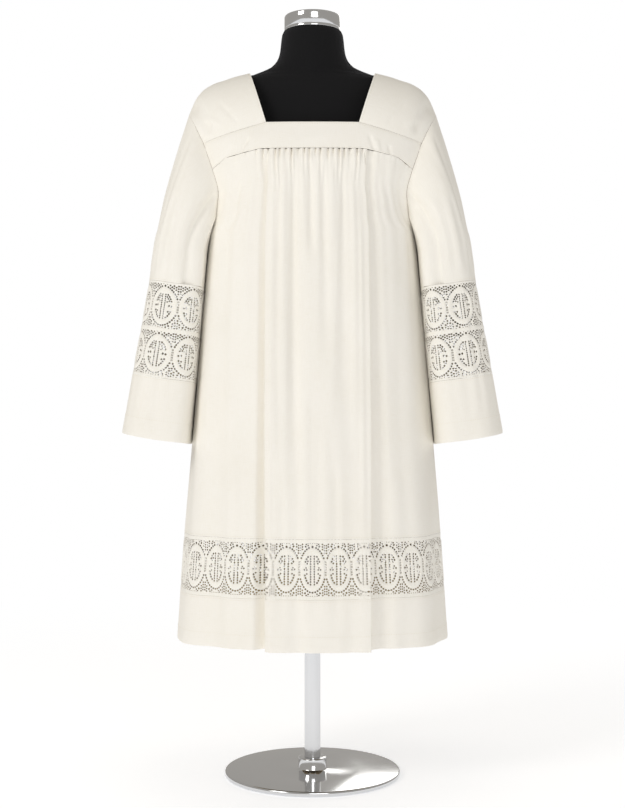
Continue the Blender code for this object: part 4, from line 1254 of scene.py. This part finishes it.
def laceSheet(kind):
    # repeats side by side and row over row as one flat sheet, welded where they meet
    size = laceRepeats[kind]
    corners, triangles, rise = repeatMesh(size)
    across = []
    faces = []
    rises = []
    for row in range(size["rows"]):
        for number in range(size["repeats"]):
            x = (number + 0.5 + corners[:, 0] / size["width"]) / size["repeats"]
            y = (row + 0.5 + corners[:, 1] / size["height"]) / size["rows"]
            faces.append(triangles + len(corners) * len(across))
            across.append(np.stack([x, y], -1))
            rises.append(rise)
    flat = np.vstack(across)
    faces = np.vstack(faces)
    rises = np.concatenate(rises)
    key = np.round(flat * 1e5).astype(np.int64)
    packed = key[:, 0] * 1000003 + key[:, 1]
    used, first, index = np.unique(packed, return_index=True, return_inverse=True)
    return flat[first], index[faces], rises[first]


def laceSides(point, normal, rise):
    # the net's outer and inner side, sunk a little behind the cloth's face, with tapes proud on both
    outer = point + normal * (rise - 0.0005)[:, None]
    inner = point - normal * (0.0005 + laceCloth["netThick"] + 0.25 * rise)[:, None]
    return outer, inner


def triangleArea(points, faces):
    corners = points[faces]
    return 0.5 * np.linalg.norm(np.cross(corners[:, 1] - corners[:, 0],
                                         corners[:, 2] - corners[:, 0]), axis=1).sum()


def addHemLace(name, face, material, sheet):
    flat, faces, rise = sheet
    low = bodyShape["laceLow"] + bodyShape["seamGap"] / 2
    high = bodyShape["laceTop"] - bodyShape["seamGap"] / 2
    height = between(low, high, flat[:, 1])
    edge = readField(fields[face]["arc"], np.full(len(flat), seamEnd), height)
    arc = edge * (2.0 * flat[:, 0] - 1.0)
    column = columnAtArc(arc, height, face)
    point, normal = drape(column, height, face)
    outer, inner = laceSides(point, normal, rise)
    piece = addCloth(name, outer, inner, faces, np.stack([arc, height], -1), material, soften=0.12,
                     insideShadeMask=insideShadeShare(column))
    return piece, triangleArea(outer, faces)


def addSleeveLace(name, side, face, material, sheet):
    flat, faces, rise = sheet
    table = evenAngles(between(sleeveShape["laceLow"], sleeveShape["laceTop"], 0.5))
    low = sleeveShape["laceLow"] + bodyShape["seamGap"] / 2
    high = sleeveShape["laceTop"] - bodyShape["seamGap"] / 2
    trim = sleeveShape["laceEdge"]
    share = between(trim, 0.5 - trim, flat[:, 0])
    if face == back:
        share = 1.0 - share
    height = between(low, high, flat[:, 1])
    point, normal = tubeSheet(share, height, table)
    outer, inner = laceSides(point, normal, rise)
    flip = np.array([side, 1.0, 1.0])
    uv = np.stack([share * table[2], height], -1)
    piece = addCloth(name, outer * flip, inner * flip, faces, uv, material, soften=0.12)
    return piece, triangleArea(outer, faces)


# Stitching: single stitches laid along the seams
stitching = {
    "long": 0.0030,
    "pitch": 0.0046,
    "wide": 0.0006,
    "high": 0.00035,
}


def stitchRow(path, normals):
    # corners and triangles of the stitches along one line
    steps = np.linalg.norm(np.diff(path, axis=0), axis=-1)
    lengths = np.concatenate([[0.0], np.cumsum(steps)])
    places = np.arange(stitching["pitch"] / 2, lengths[-1] - stitching["pitch"] / 2, stitching["pitch"])

    def at(values, where):
        return np.stack([np.interp(where, lengths, values[:, axis]) for axis in range(3)], -1)

    middle = at(path, places)
    start = at(path, places - stitching["long"] / 2)
    end = at(path, places + stitching["long"] / 2)
    normal = at(normals, places)
    normal /= np.linalg.norm(normal, axis=-1, keepdims=True)
    along = end - start
    along /= np.linalg.norm(along, axis=-1, keepdims=True)
    side = np.cross(normal, along) * stitching["wide"] / 2
    lift = normal * stitching["high"]
    corners = np.stack([start, middle + side, end, middle - side, middle + lift,
                        middle - lift * 0.4], 1)
    one = np.array([(0, 1, 4), (1, 2, 4), (2, 3, 4), (3, 0, 4), (1, 0, 5), (2, 1, 5), (3, 2, 5),
                    (0, 3, 5)])
    faces = one[None] + 6 * np.arange(len(places))[:, None, None]
    return corners.reshape(-1, 3), faces.reshape(-1, 3)


def addStitches(name, rows, material):
    points = []
    faces = []
    count = 0
    for path, normals in rows:
        corners, triangles = stitchRow(path, normals)
        points.append(corners)
        faces.append(triangles + count)
        count += len(corners)
    return addMesh(name, np.vstack(points), [np.vstack(faces)], None, material, sharp=80.0)


def bodyLine(face, height, lift=0.0002):
    columns = np.linspace(-seamEnd + 0.001, seamEnd - 0.001, 700)
    point, normal = drape(columns, height + 0.0 * columns, face)
    return point + normal * lift, normal


def hemStitches():
    rows = []
    for face in (front, back):
        rows.append(bodyLine(face, bodyShape["laceTop"] + 0.0035))
        rows.append(bodyLine(face, bodyShape["laceLow"] - 0.0035))
        rows.append(bodyLine(face, bodyShape["hem"] + hemCloth["turnUp"] - 0.0035, 0.0005))
    return rows


def yokeStitches():
    rows = []
    columns = np.linspace(-seamEnd, seamEnd, 400)
    for face in (front, back):
        point, normal = bandPoint(columns, np.full(len(columns), 0.045), face)
        rows.append((point + normal * 0.0001, normal))
        # along the neck edge and the seams of the shoulder pieces
        corner = yokeCloth["neckCornerColumn"]
        for low, high in ((-seamEnd, -corner), (-corner, corner), (corner, seamEnd)):
            stretch = np.linspace(low, high, 160)
            point, normal = bandPoint(stretch, np.full(160, 0.93), face)
            rows.append((point + normal * 0.0001, normal))
    for side in (1, -1):
        turns = np.linspace(-0.995, 0.995, 240)
        path = shoulderPath(np.full(240, 0.035), turns)
        ahead, up = np.sin(turns * math.pi / 2), np.abs(np.cos(turns * math.pi / 2))
        normal = np.stack([np.zeros(240), ahead, up], -1)
        normal /= np.linalg.norm(normal, axis=-1, keepdims=True)
        flip = np.array([side, 1.0, 1.0])
        rows.append(((path + normal * 0.0003) * flip, normal * flip))
    return rows


def sleeveStitches(side):
    flip = np.array([side, 1.0, 1.0])
    rows = []
    for height, lift in ((sleeveShape["laceTop"] + 0.0035, 0.0002),
                         (sleeveShape["laceLow"] - 0.0035, 0.0002),
                         (sleeveShape["hem"] + cuffCloth["turnUp"] - 0.0035, 0.0005)):
        table = evenAngles(height)
        share = np.linspace(0.0, 1.0, 420)
        point, normal = tubeSheet(share, height + 0.0 * share, table)
        rows.append(((point + normal * lift) * flip, normal * flip))
    return rows


# Dress form: height, half width, depth in front, depth behind, roundness
dressForm = {
    "body": [
        (0.750, 0.150, 0.094, 0.100, 2.2),
        (0.762, 0.160, 0.101, 0.107, 2.2),
        (0.810, 0.166, 0.106, 0.112, 2.3),
        (0.880, 0.161, 0.101, 0.105, 2.3),
        (0.990, 0.149, 0.095, 0.092, 2.3),
        (1.100, 0.160, 0.105, 0.099, 2.3),
        (1.190, 0.170, 0.113, 0.104, 2.3),
        (1.260, 0.178, 0.106, 0.103, 2.2),
        (1.320, 0.184, 0.090, 0.092, 2.0),
        (1.355, 0.181, 0.080, 0.083, 1.8),
    ],
    "neck": [
        (1.3990, 0.1040, 0.068, 0.070, 1.6),
        (1.4070, 0.0830, 0.067, 0.069, 1.9),
        (1.4200, 0.0700, 0.066, 0.067, 2.0),
        (1.4350, 0.0650, 0.065, 0.065, 2.0),
        (1.4730, 0.0615, 0.0615, 0.0615, 2.0),
        (1.4805, 0.0575, 0.0575, 0.0575, 2.0),
    ],
    "shoulderOffsets": (0.1704, 0.1553, 0.1401, 0.1290),
    "shoulderDepth": 0.069,
    "shoulderRoundness": 1.45,
    "shoulderRoom": 0.0030,     # under the cloth that rests on it
    "columns": 96,
}


def addForm(material):
    rest = []
    for offset in dressForm["shoulderOffsets"]:
        depth = dressForm["shoulderDepth"]
        height = float(smoothRead(shoulderLine, 1, offset)) - dressForm["shoulderRoom"]
        rest.append((height, offset, depth, depth, dressForm["shoulderRoundness"]))
    table = np.array(dressForm["body"] + rest + dressForm["neck"])
    heights = []
    for low, high in zip(table[:-1, 0], table[1:, 0]):
        count = max(2, int((high - low) / 0.007))
        heights += list(np.linspace(low, high, count, endpoint=False))
    heights.append(table[-1, 0])
    angles = np.linspace(0.0, 2 * math.pi, dressForm["columns"], endpoint=False)
    rings = []
    for height in heights:
        halfWidth, ahead, behind, roundness = (
            np.interp(height, table[:, 0], table[:, i]) for i in (1, 2, 3, 4))
        bend = 2.0 / roundness
        x = np.copysign(np.abs(np.cos(angles)) ** bend, np.cos(angles)) * halfWidth
        y = np.copysign(np.abs(np.sin(angles)) ** bend,
                        np.sin(angles)) * np.where(np.sin(angles) > 0, behind, ahead)
        rings.append(np.stack([x, y, np.full(len(angles), height)], -1))
    grid = np.array(rings)
    # ease the table's bends, but leave the bottom and the neck's top as they are
    for _ in range(3):
        smooth = grid.copy()
        smooth[1:-1, :, :2] = 0.25 * grid[:-2, :, :2] + 0.5 * grid[1:-1, :, :2] + 0.25 * grid[2:, :, :2]
        grid = smooth
    return addTube("formTorso", grid, material)


def addTube(name, grid, material, sharp=50.0):
    rows, columns = grid.shape[:2]
    points = grid.reshape(-1, 3)
    low = points[:columns].mean(axis=0)
    high = points[-columns:].mean(axis=0)
    walls = gridFaces(rows, columns, closed=True)
    index = np.arange(columns)
    count = len(points)
    bottom = np.stack([np.roll(index, -1), index, np.full(columns, count)], -1)
    top = np.stack([index, np.roll(index, -1), np.full(columns, count + 1)], -1)
    top[:, :2] += (rows - 1) * columns
    everything = np.vstack([points, low, high])
    around = np.stack([np.tile(np.arange(columns) / columns, rows), points[:, 2]], -1)
    uv = np.vstack([around * np.array([0.6, 1.0]), [[0, low[2]], [0, high[2]]]])
    return addMesh(name, everything, [walls, bottom, top], uv, material, sharp=sharp)


def lathe(name, profile, columns, material, sharp=50.0):
    angles = np.linspace(0.0, 2 * math.pi, columns, endpoint=False)
    grid = np.array([[(r * math.cos(a), r * math.sin(a), z) for a in angles] for r, z in profile])
    return addTube(name, grid, material, sharp=sharp)


def roundedEdge(radius, height, bevel, steps, lower):
    # profile places round a bevelled edge, going up; lower turns it for a bottom edge
    places = []
    for i in range(steps + 1):
        turn = math.pi / 2 * i / steps
        if lower:
            places.append((radius - bevel + bevel * math.sin(turn),
                           height + bevel - bevel * math.cos(turn)))
        else:
            places.append((radius - bevel + bevel * math.cos(turn),
                           height - bevel + bevel * math.sin(turn)))
    return places


stand = {
    "capRadius": 0.056, "capLow": 1.4815, "capTop": 1.513, "capBevel": 0.0045, "capGroove": 1.487,
    "poleRadius": 0.016, "baseRadius": 0.175, "baseThick": 0.010, "baseBevel": 0.004,
    "collarRadius": 0.028, "collarTop": 0.034, "screwHeight": 0.024,
}


def addStand(chrome):
    r, low, top = stand["capRadius"], stand["capLow"], stand["capTop"]
    profile = roundedEdge(r, low, 0.001, 3, True)
    groove = stand["capGroove"]
    profile += [(r, groove - 0.0008), (r - 0.0007, groove), (r, groove + 0.0008)]
    profile += roundedEdge(r, top, stand["capBevel"], 8, False)
    profile += [(r * 0.75, top), (r * 0.4, top - 0.0002)]
    cap = lathe("neckCap", profile, 128, chrome, sharp=60.0)
    pole = lathe("standPole", [(stand["poleRadius"], stand["collarTop"] + 0.0003),
                               (stand["poleRadius"], 0.40), (stand["poleRadius"], 0.7497)], 48, chrome)
    base = roundedEdge(stand["baseRadius"], 0.0, 0.0012, 3, True)
    base += roundedEdge(stand["baseRadius"], stand["baseThick"], stand["baseBevel"], 6, False)
    base += [(0.09, stand["baseThick"]), (0.034, stand["baseThick"])]
    base += [(0.0300, stand["baseThick"] + 0.0006), (stand["collarRadius"], stand["baseThick"] + 0.003)]
    base += roundedEdge(stand["collarRadius"], stand["collarTop"], 0.0025, 5, False)
    plate = lathe("standBase", base, 128, chrome)
    return cap, pole, plate


# Materials

def linearColour(code):
    # sRGB hex to the linear values that the shader takes
    code = code.lstrip("#")
    values = [int(code[i:i + 2], 16) / 255.0 for i in (0, 2, 4)]
    return tuple(v / 12.92 if v <= 0.04045 else ((v + 0.055) / 1.055) ** 2.4 for v in values) + (1.0,)


def addNode(tree, kind, settings=None, links=None):
    # settings set an input by its name, or one of the node's own values; links join an input to
    # a socket
    node = tree.nodes.new(kind)
    for name, value in (settings or {}).items():
        if name in node.inputs:
            node.inputs[name].default_value = value
        else:
            setattr(node, name, value)
    for name, socket in (links or {}).items():
        tree.links.new(socket, node.inputs[name])
    return node


def newMaterial(name, surface):
    # surface holds the shader's own values
    material = bpy.data.materials.new(name)
    material.use_nodes = True
    tree = material.node_tree
    shader = tree.nodes["Principled BSDF"]
    for key, value in surface.items():
        shader.inputs[key].default_value = value
    material.diffuse_color = surface["Base Color"]
    return material, tree, shader


def rampBetween(tree, factor, low, high, start=0.0, end=1.0):
    ramp = addNode(tree, "ShaderNodeValToRGB", links={"Fac": factor})
    ramp.color_ramp.elements[0].position = start
    ramp.color_ramp.elements[0].color = low
    ramp.color_ramp.elements[1].position = end
    ramp.color_ramp.elements[1].color = high
    return ramp.outputs["Color"]


# Plain woven polyester and cotton, pressed: matte, with a faint soft glow at grazing angles
wovenCloth = {
    "colour": "#FAF7F0",
    "shade": "#F4F0E6",
    # the inside's colour is painted shade, a darker brown than the cloth, so the garment looks dim inside
    "paintedInsideShade": "#A08C66",
    "roughness": 0.86,
    "sheen": 0.18,
    "sheenRoughness": 0.45,
    "threadMm": 1.1,        # real threads lie 0.35 mm apart; drawn coarser, so that they show
    "threadBump": 0.10,
    "slubMm": 9.0,
    "creaseBump": 0.22,
}


def weaveBump(tree, uv, spacingMm, strength, distance):
    # over and under of a plain weave from two crossed waves
    split = addNode(tree, "ShaderNodeSeparateXYZ", links={"Vector": uv})
    turn = 2 * math.pi / (spacingMm / 1000.0) / 2
    waves = []
    for axis in ("X", "Y"):
        angle = addNode(tree, "ShaderNodeMath", {"operation": "MULTIPLY"}, {0: split.outputs[axis]})
        angle.inputs[1].default_value = turn
        waves.append(addNode(tree, "ShaderNodeMath", {"operation": "SINE"},
                             {0: angle.outputs[0]}).outputs[0])
    product = addNode(tree, "ShaderNodeMath", {"operation": "MULTIPLY"}, {0: waves[0], 1: waves[1]})
    return addNode(tree, "ShaderNodeBump", {"Strength": strength, "Distance": distance},
                   {"Height": product.outputs[0]})


def paintInsideShade(tree, colour, code):
    # paints shade on the cloth's inner side in a darker brown, so the garment looks dim inside
    side = addNode(tree, "ShaderNodeAttribute", {"attribute_name": "paintedInsideShade"})
    mix = addNode(tree, "ShaderNodeMix", {"data_type": "RGBA"})
    tree.links.new(side.outputs["Fac"], mix.inputs["Factor"])
    tree.links.new(colour, mix.inputs[6])
    mix.inputs[7].default_value = linearColour(code)
    return mix.outputs[2]


def makeWovenCloth():
    look = wovenCloth
    material, tree, shader = newMaterial("wovenPolyesterCotton", {
        "Base Color": linearColour(look["colour"]),
        "Roughness": look["roughness"],
        "Sheen Weight": look["sheen"],
        "Sheen Roughness": look["sheenRoughness"],
        "Sheen Tint": linearColour("#FFF9EC"),
        "IOR": 1.46,
        "Specular IOR Level": 0.35,
    })
    uv = addNode(tree, "ShaderNodeUVMap", {"uv_map": "metres"}).outputs["UV"]
    # warp and weft slubs: noise drawn out along each thread direction
    streaks = []
    for scale in ((60.0, 900.0, 1.0), (900.0, 45.0, 1.0)):
        stretched = addNode(tree, "ShaderNodeMapping", {"Scale": scale}, {"Vector": uv})
        streaks.append(addNode(tree, "ShaderNodeTexNoise",
                               {"Scale": 1.0, "Detail": 3.0, "Roughness": 0.55},
                               {"Vector": stretched.outputs["Vector"]}).outputs["Fac"])
    both = addNode(tree, "ShaderNodeMath", {"operation": "ADD"}, {0: streaks[0], 1: streaks[1]})
    half = addNode(tree, "ShaderNodeMath", {"operation": "MULTIPLY"}, {0: both.outputs[0]})
    half.inputs[1].default_value = 0.5
    broad = addNode(tree, "ShaderNodeTexNoise", {"Scale": 7.0, "Detail": 2.0}, {"Vector": uv})
    tint = addNode(tree, "ShaderNodeMath", {"operation": "MULTIPLY_ADD"},
                   {0: broad.outputs["Fac"], 2: half.outputs[0]})
    tint.inputs[1].default_value = 0.5
    colour = rampBetween(tree, tint.outputs[0], linearColour(look["shade"]),
                         linearColour(look["colour"]), 0.45, 0.85)
    tree.links.new(paintInsideShade(tree, colour, look["paintedInsideShade"]), shader.inputs["Base Color"])
    # pressed cloth keeps very shallow wrinkles a few centimetres long
    wrinkle = addNode(tree, "ShaderNodeTexNoise",
                      {"Scale": 24.0, "Detail": 3.0, "Roughness": 0.45}, {"Vector": uv})
    slack = addNode(tree, "ShaderNodeBump", {"Strength": look["creaseBump"], "Distance": 0.0012},
                    {"Height": wrinkle.outputs["Fac"]})
    weave = weaveBump(tree, uv, look["threadMm"], look["threadBump"], 0.0002)
    tree.links.new(slack.outputs["Normal"], weave.inputs["Normal"])
    tree.links.new(weave.outputs["Normal"], shader.inputs["Normal"])
    return material


# Machine made tape lace of soft cotton thread: duller than the cloth, its threads twisted
tapeLace = {
    "colour": "#FCFAF4",
    "shade": "#F4EFE4",
    # the inside's colour is painted shade, darker still, so the lace's gaps look dark
    "paintedInsideShade": "#7E6B4A",
    "roughness": 0.90,
    "sheen": 0.12,
    "threadMm": 1.3,        # real threads are 0.4 mm; drawn coarser, so that they show
    "threadBump": 0.35,
}


def makeTapeLace():
    look = tapeLace
    material, tree, shader = newMaterial("tapeLaceCotton", {
        "Base Color": linearColour(look["colour"]),
        "Roughness": look["roughness"],
        "Sheen Weight": look["sheen"],
        "Sheen Roughness": 0.5,
        "IOR": 1.46,
        "Specular IOR Level": 0.3,
    })
    uv = addNode(tree, "ShaderNodeUVMap", {"uv_map": "metres"}).outputs["UV"]
    thread = addNode(tree, "ShaderNodeTexNoise",
                     {"Scale": 420.0, "Detail": 2.0, "Roughness": 0.6}, {"Vector": uv})
    colour = rampBetween(tree, thread.outputs["Fac"], linearColour(look["shade"]),
                         linearColour(look["colour"]),
                         0.30, 0.62)
    tree.links.new(paintInsideShade(tree, colour, look["paintedInsideShade"]), shader.inputs["Base Color"])
    fuzz = addNode(tree, "ShaderNodeBump", {"Strength": 0.5, "Distance": 0.0003},
                   {"Height": thread.outputs["Fac"]})
    weave = weaveBump(tree, uv, look["threadMm"], look["threadBump"], 0.0003)
    tree.links.new(fuzz.outputs["Normal"], weave.inputs["Normal"])
    tree.links.new(weave.outputs["Normal"], shader.inputs["Normal"])
    return material


# Spun polyester sewing thread, two plies twisted: a touch brighter than the cloth
sewingThread = {"colour": "#F3ECDB", "shade": "#E2D8C0", "roughness": 0.6}


def makeSewingThread():
    look = sewingThread
    material, tree, shader = newMaterial("twistedSewingThread", {
        "Base Color": linearColour(look["colour"]),
        "Roughness": look["roughness"],
        "Sheen Weight": 0.2,
        "IOR": 1.5,
    })
    place = addNode(tree, "ShaderNodeTexCoord").outputs["Object"]
    ply = addNode(tree, "ShaderNodeTexNoise", {"Scale": 900.0, "Detail": 1.0}, {"Vector": place})
    colour = rampBetween(tree, ply.outputs["Fac"], linearColour(look["shade"]),
                         linearColour(look["colour"]), 0.3, 0.6)
    tree.links.new(colour, shader.inputs["Base Color"])
    return material


# Black cotton and elastane jersey, circular knitted and stretched over the form: deep matte with
# grazing bloom
blackJersey = {
    "colour": "#0C0C0D",
    "shade": "#17171A",
    "roughness": 0.92,
    "waleMm": 2.2,          # real wales lie 0.8 mm apart; drawn coarser
    "courseMm": 1.6,
}


def makeBlackJersey():
    look = blackJersey
    material, tree, shader = newMaterial("knittedBlackJersey", {
        "Base Color": linearColour(look["colour"]),
        "Roughness": look["roughness"],
        "Sheen Weight": 0.40,
        "Sheen Roughness": 0.4,
        "Sheen Tint": linearColour("#6A6B72"),
        "IOR": 1.5,
        "Specular IOR Level": 0.25,
    })
    uv = addNode(tree, "ShaderNodeUVMap", {"uv_map": "metres"}).outputs["UV"]
    split = addNode(tree, "ShaderNodeSeparateXYZ", links={"Vector": uv})
    # each wale is a column of V shaped stitches
    wale = addNode(tree, "ShaderNodeMath", {"operation": "PINGPONG"}, {0: split.outputs["X"]})
    wale.inputs[1].default_value = look["waleMm"] / 2000.0
    slant = addNode(tree, "ShaderNodeMath", {"operation": "MULTIPLY_ADD"},
                    {0: wale.outputs[0], 2: split.outputs["Y"]})
    slant.inputs[1].default_value = 0.9
    angle = addNode(tree, "ShaderNodeMath", {"operation": "MULTIPLY"}, {0: slant.outputs[0]})
    angle.inputs[1].default_value = 2 * math.pi / (look["courseMm"] / 1000.0)
    loops = addNode(tree, "ShaderNodeMath", {"operation": "SINE"}, {0: angle.outputs[0]})
    colour = rampBetween(tree, loops.outputs[0], linearColour(look["colour"]),
                         linearColour(look["shade"]), 0.0, 1.0)
    tree.links.new(colour, shader.inputs["Base Color"])
    bump = addNode(tree, "ShaderNodeBump", {"Strength": 0.35, "Distance": 0.0004},
                   {"Height": loops.outputs[0]})
    tree.links.new(bump.outputs["Normal"], shader.inputs["Normal"])
    return material


# Chrome plated steel of the cap, the pole and the base, buffed round its axis: mirror bright
# with hair lines
chromePlate = {"colour": "#DADBDD", "roughness": 0.09}


def makeChrome():
    look = chromePlate
    material, tree, shader = newMaterial("chromePlatedSteel", {
        "Base Color": linearColour(look["colour"]),
        "Metallic": 1.0,
        "Roughness": look["roughness"],
    })
    place = addNode(tree, "ShaderNodeTexCoord").outputs["Object"]
    drawn = addNode(tree, "ShaderNodeMapping", {"Scale": (14.0, 14.0, 2200.0)}, {"Vector": place})
    hair = addNode(tree, "ShaderNodeTexNoise", {"Scale": 1.0, "Detail": 2.0},
                   {"Vector": drawn.outputs["Vector"]})
    rough = addNode(tree, "ShaderNodeMapRange", {"To Min": 0.05, "To Max": 0.16},
                    {"Value": hair.outputs["Fac"]})
    tree.links.new(rough.outputs["Result"], shader.inputs["Roughness"])
    bump = addNode(tree, "ShaderNodeBump", {"Strength": 0.03, "Distance": 0.0001},
                   {"Height": hair.outputs["Fac"]})
    tree.links.new(bump.outputs["Normal"], shader.inputs["Normal"])
    return material


# Plain pale floor and soft studio light, the key from the camera's left
studio = {
    "floorColour": "#F4F5F7",
    "floorSize": 14.0,
    "floorGlow": 0.50,
    "fadeFrom": 0.35,
    "fadeTo": 2.6,
    "worldColour": "#FFFFFF",
    "worldSeen": 1.0,
    "roomColour": "#FFFAF2",    # light that comes back from the room is a little warm
    "worldLight": 0.42,
    "key": {"place": (-3.0, -2.7, 3.0), "aim": (0.0, 0.0, 1.15), "size": 1.5, "watts": 50.0,
            "colour": "#FFFDF9"},
    "fill": {"place": (0.6, -4.2, 1.9), "aim": (0.0, 0.0, 1.05), "size": 1.8, "watts": 27.0,
             "colour": "#FFFFFF"},
    "back": {"place": (1.2, 4.2, 2.4), "aim": (0.0, 0.0, 0.9), "size": 2.2, "watts": 30.0,
             "colour": "#FFFDF9"},
}


def addLight(name, light):
    data = bpy.data.lights.new(name, "AREA")
    data.size = light["size"]
    data.energy = light["watts"]
    data.color = linearColour(light["colour"])[:3]
    lamp = bpy.data.objects.new(name, data)
    lamp.location = light["place"]
    aim = Vector(light["aim"]) - Vector(light["place"])
    lamp.rotation_euler = aim.to_track_quat("-Z", "Y").to_euler()
    bpy.context.scene.collection.objects.link(lamp)


def addStudio():
    half = studio["floorSize"] / 2
    mesh = bpy.data.meshes.new("studioFloor")
    z = -0.0004
    mesh.from_pydata([(-half, -half, z), (half, -half, z), (half, half, z), (-half, half, z)], [],
                     [(0, 1, 2, 3)])
    material, tree, shader = newMaterial("studioFloorPaint", {
        "Base Color": linearColour(studio["floorColour"]),
        "Roughness": 0.8,
        "Emission Color": linearColour(studio["floorColour"]),
        "Emission Strength": studio["floorGlow"],
    })
    mesh.materials.append(material)
    # the paper sweep runs into the white behind it
    place = addNode(tree, "ShaderNodeNewGeometry").outputs["Position"]
    away = addNode(tree, "ShaderNodeVectorMath", {"operation": "LENGTH"}, {"Vector": place})
    fade = addNode(tree, "ShaderNodeMapRange",
                   {"From Min": studio["fadeFrom"], "From Max": studio["fadeTo"]},
                   {"Value": away.outputs["Value"]})
    fade.interpolation_type = "SMOOTHSTEP"
    glow = addNode(tree, "ShaderNodeEmission", {"Color": linearColour(studio["worldColour"])})
    mix = addNode(tree, "ShaderNodeMixShader", links={0: fade.outputs["Result"]})
    tree.links.new(shader.outputs["BSDF"], mix.inputs[1])
    tree.links.new(glow.outputs["Emission"], mix.inputs[2])
    tree.links.new(mix.outputs["Shader"], tree.nodes["Material Output"].inputs["Surface"])
    floor = bpy.data.objects.new("studioFloor", mesh)
    bpy.context.scene.collection.objects.link(floor)
    floor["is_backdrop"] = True
    world = bpy.data.worlds.new("studioWorld")
    world.use_nodes = True
    bpy.context.scene.world = world
    tree = world.node_tree
    tree.nodes.clear()
    path = addNode(tree, "ShaderNodeLightPath")
    strength = addNode(tree, "ShaderNodeMapRange",
                       {"To Min": studio["worldLight"], "To Max": studio["worldSeen"]},
                       {"Value": path.outputs["Is Camera Ray"]})
    tint = addNode(tree, "ShaderNodeMix", {"data_type": "RGBA"},
                   {"Factor": path.outputs["Is Camera Ray"]})
    tint.inputs[6].default_value = linearColour(studio["roomColour"])
    tint.inputs[7].default_value = linearColour(studio["worldColour"])
    sky = addNode(tree, "ShaderNodeBackground",
                  links={"Color": tint.outputs[2], "Strength": strength.outputs["Result"]})
    addNode(tree, "ShaderNodeOutputWorld", links={"Surface": sky.outputs["Background"]})
    addLight("keyLight", studio["key"])
    addLight("fillLight", studio["fill"])
    addLight("backLight", studio["back"])
    bpy.context.scene.view_settings.view_transform = "Standard"


# Assembly
for oldLight in [o for o in bpy.data.objects if o.type in ("LIGHT", "CAMERA")]:
    bpy.data.objects.remove(oldLight)
addCamera()
addStudio()
say("camera, floor and lights set")

cloth = makeWovenCloth()
lace = makeTapeLace()
thread = makeSewingThread()
jersey = makeBlackJersey()
chrome = makeChrome()
say("materials made")


def takePlace(piece, node):
    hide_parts(node)
    return piece


sides = {"left": 1, "right": -1}
halves = {"front": front, "back": back}
laceSheets = {kind: laceSheet(kind) for kind in laceRepeats}
for kind, sheet in laceSheets.items():
    say(kind, "lace:", len(sheet[1]), "triangles on one side")

seamStitches = {
    "yokeStitches": addStitches("yokeStitches", yokeStitches(), thread),
    "hemStitches": addStitches("hemStitches", hemStitches(), thread),
}
for side, sign in sides.items():
    name = "sleeveStitches" + side.capitalize()
    seamStitches[name] = addStitches(name, sleeveStitches(sign), thread)
say("seams stitched")

for word, face in halves.items():
    panel, area = addBodyPanel("bodyPanel" + word.capitalize(), face, cloth)
    takePlace(panel, "body_" + word)
    say("body", word, "laid area", round(area, 4))
    inset, area = addHemLace("hemLace" + word.capitalize(), face, lace, laceSheets["hem"])
    takePlace(inset, "hem_lace_" + word)
    say("hem lace", word, "laid area", round(area, 4))
    hem, area = addHemBand("hemBand" + word.capitalize(), face, cloth)
    takePlace(hem, "hem_band_" + word)
    say("hem band", word, "laid area", round(area, 4))
    band, area = addYokeBand("yokeBand" + word.capitalize(), face, cloth)
    takePlace(band, "yoke_band_" + word)
    say("yoke band", word, "laid area", round(area, 4))

for side, sign in sides.items():
    shoulder, area = addShoulderPiece("shoulder" + side.capitalize(), sign, cloth)
    takePlace(shoulder, "yoke_" + side)
    say("shoulder", side, "laid area", round(area, 4))
    sleeve, area = addUpperSleeve("sleeveUpper" + side.capitalize(), sign, cloth)
    takePlace(sleeve, "sleeve_" + side + "_upper")
    say("upper sleeve", side, "laid area", round(area, 4))
    for word, face in halves.items():
        inset, area = addSleeveLace("sleeveLace" + side.capitalize() + word.capitalize(), sign,
                                    face, lace,
                                    laceSheets["sleeve"])
        takePlace(inset, "sleeve_" + side + "_lace_" + word)
        say("sleeve lace", side, word, "laid area", round(area, 4))
    cuff, area = addCuff("cuff" + side.capitalize(), sign, cloth)
    takePlace(cuff, "sleeve_" + side + "_cuff")
    say("cuff", side, "laid area", round(area, 4))
say("surplice made")

torso = takePlace(addForm(jersey), "form_torso")
cap, pole, plate = addStand(chrome)
takePlace(cap, "form_neck_cap")
takePlace(pole, "form_pole")
takePlace(plate, "form_base")
say("dress form made")

triangles = 0
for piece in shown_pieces():
    count = sum(len(polygon.vertices) - 2 for polygon in piece.data.polygons)
    triangles += count
    say(piece.name, count, "triangles")
say("in all", triangles, "triangles")
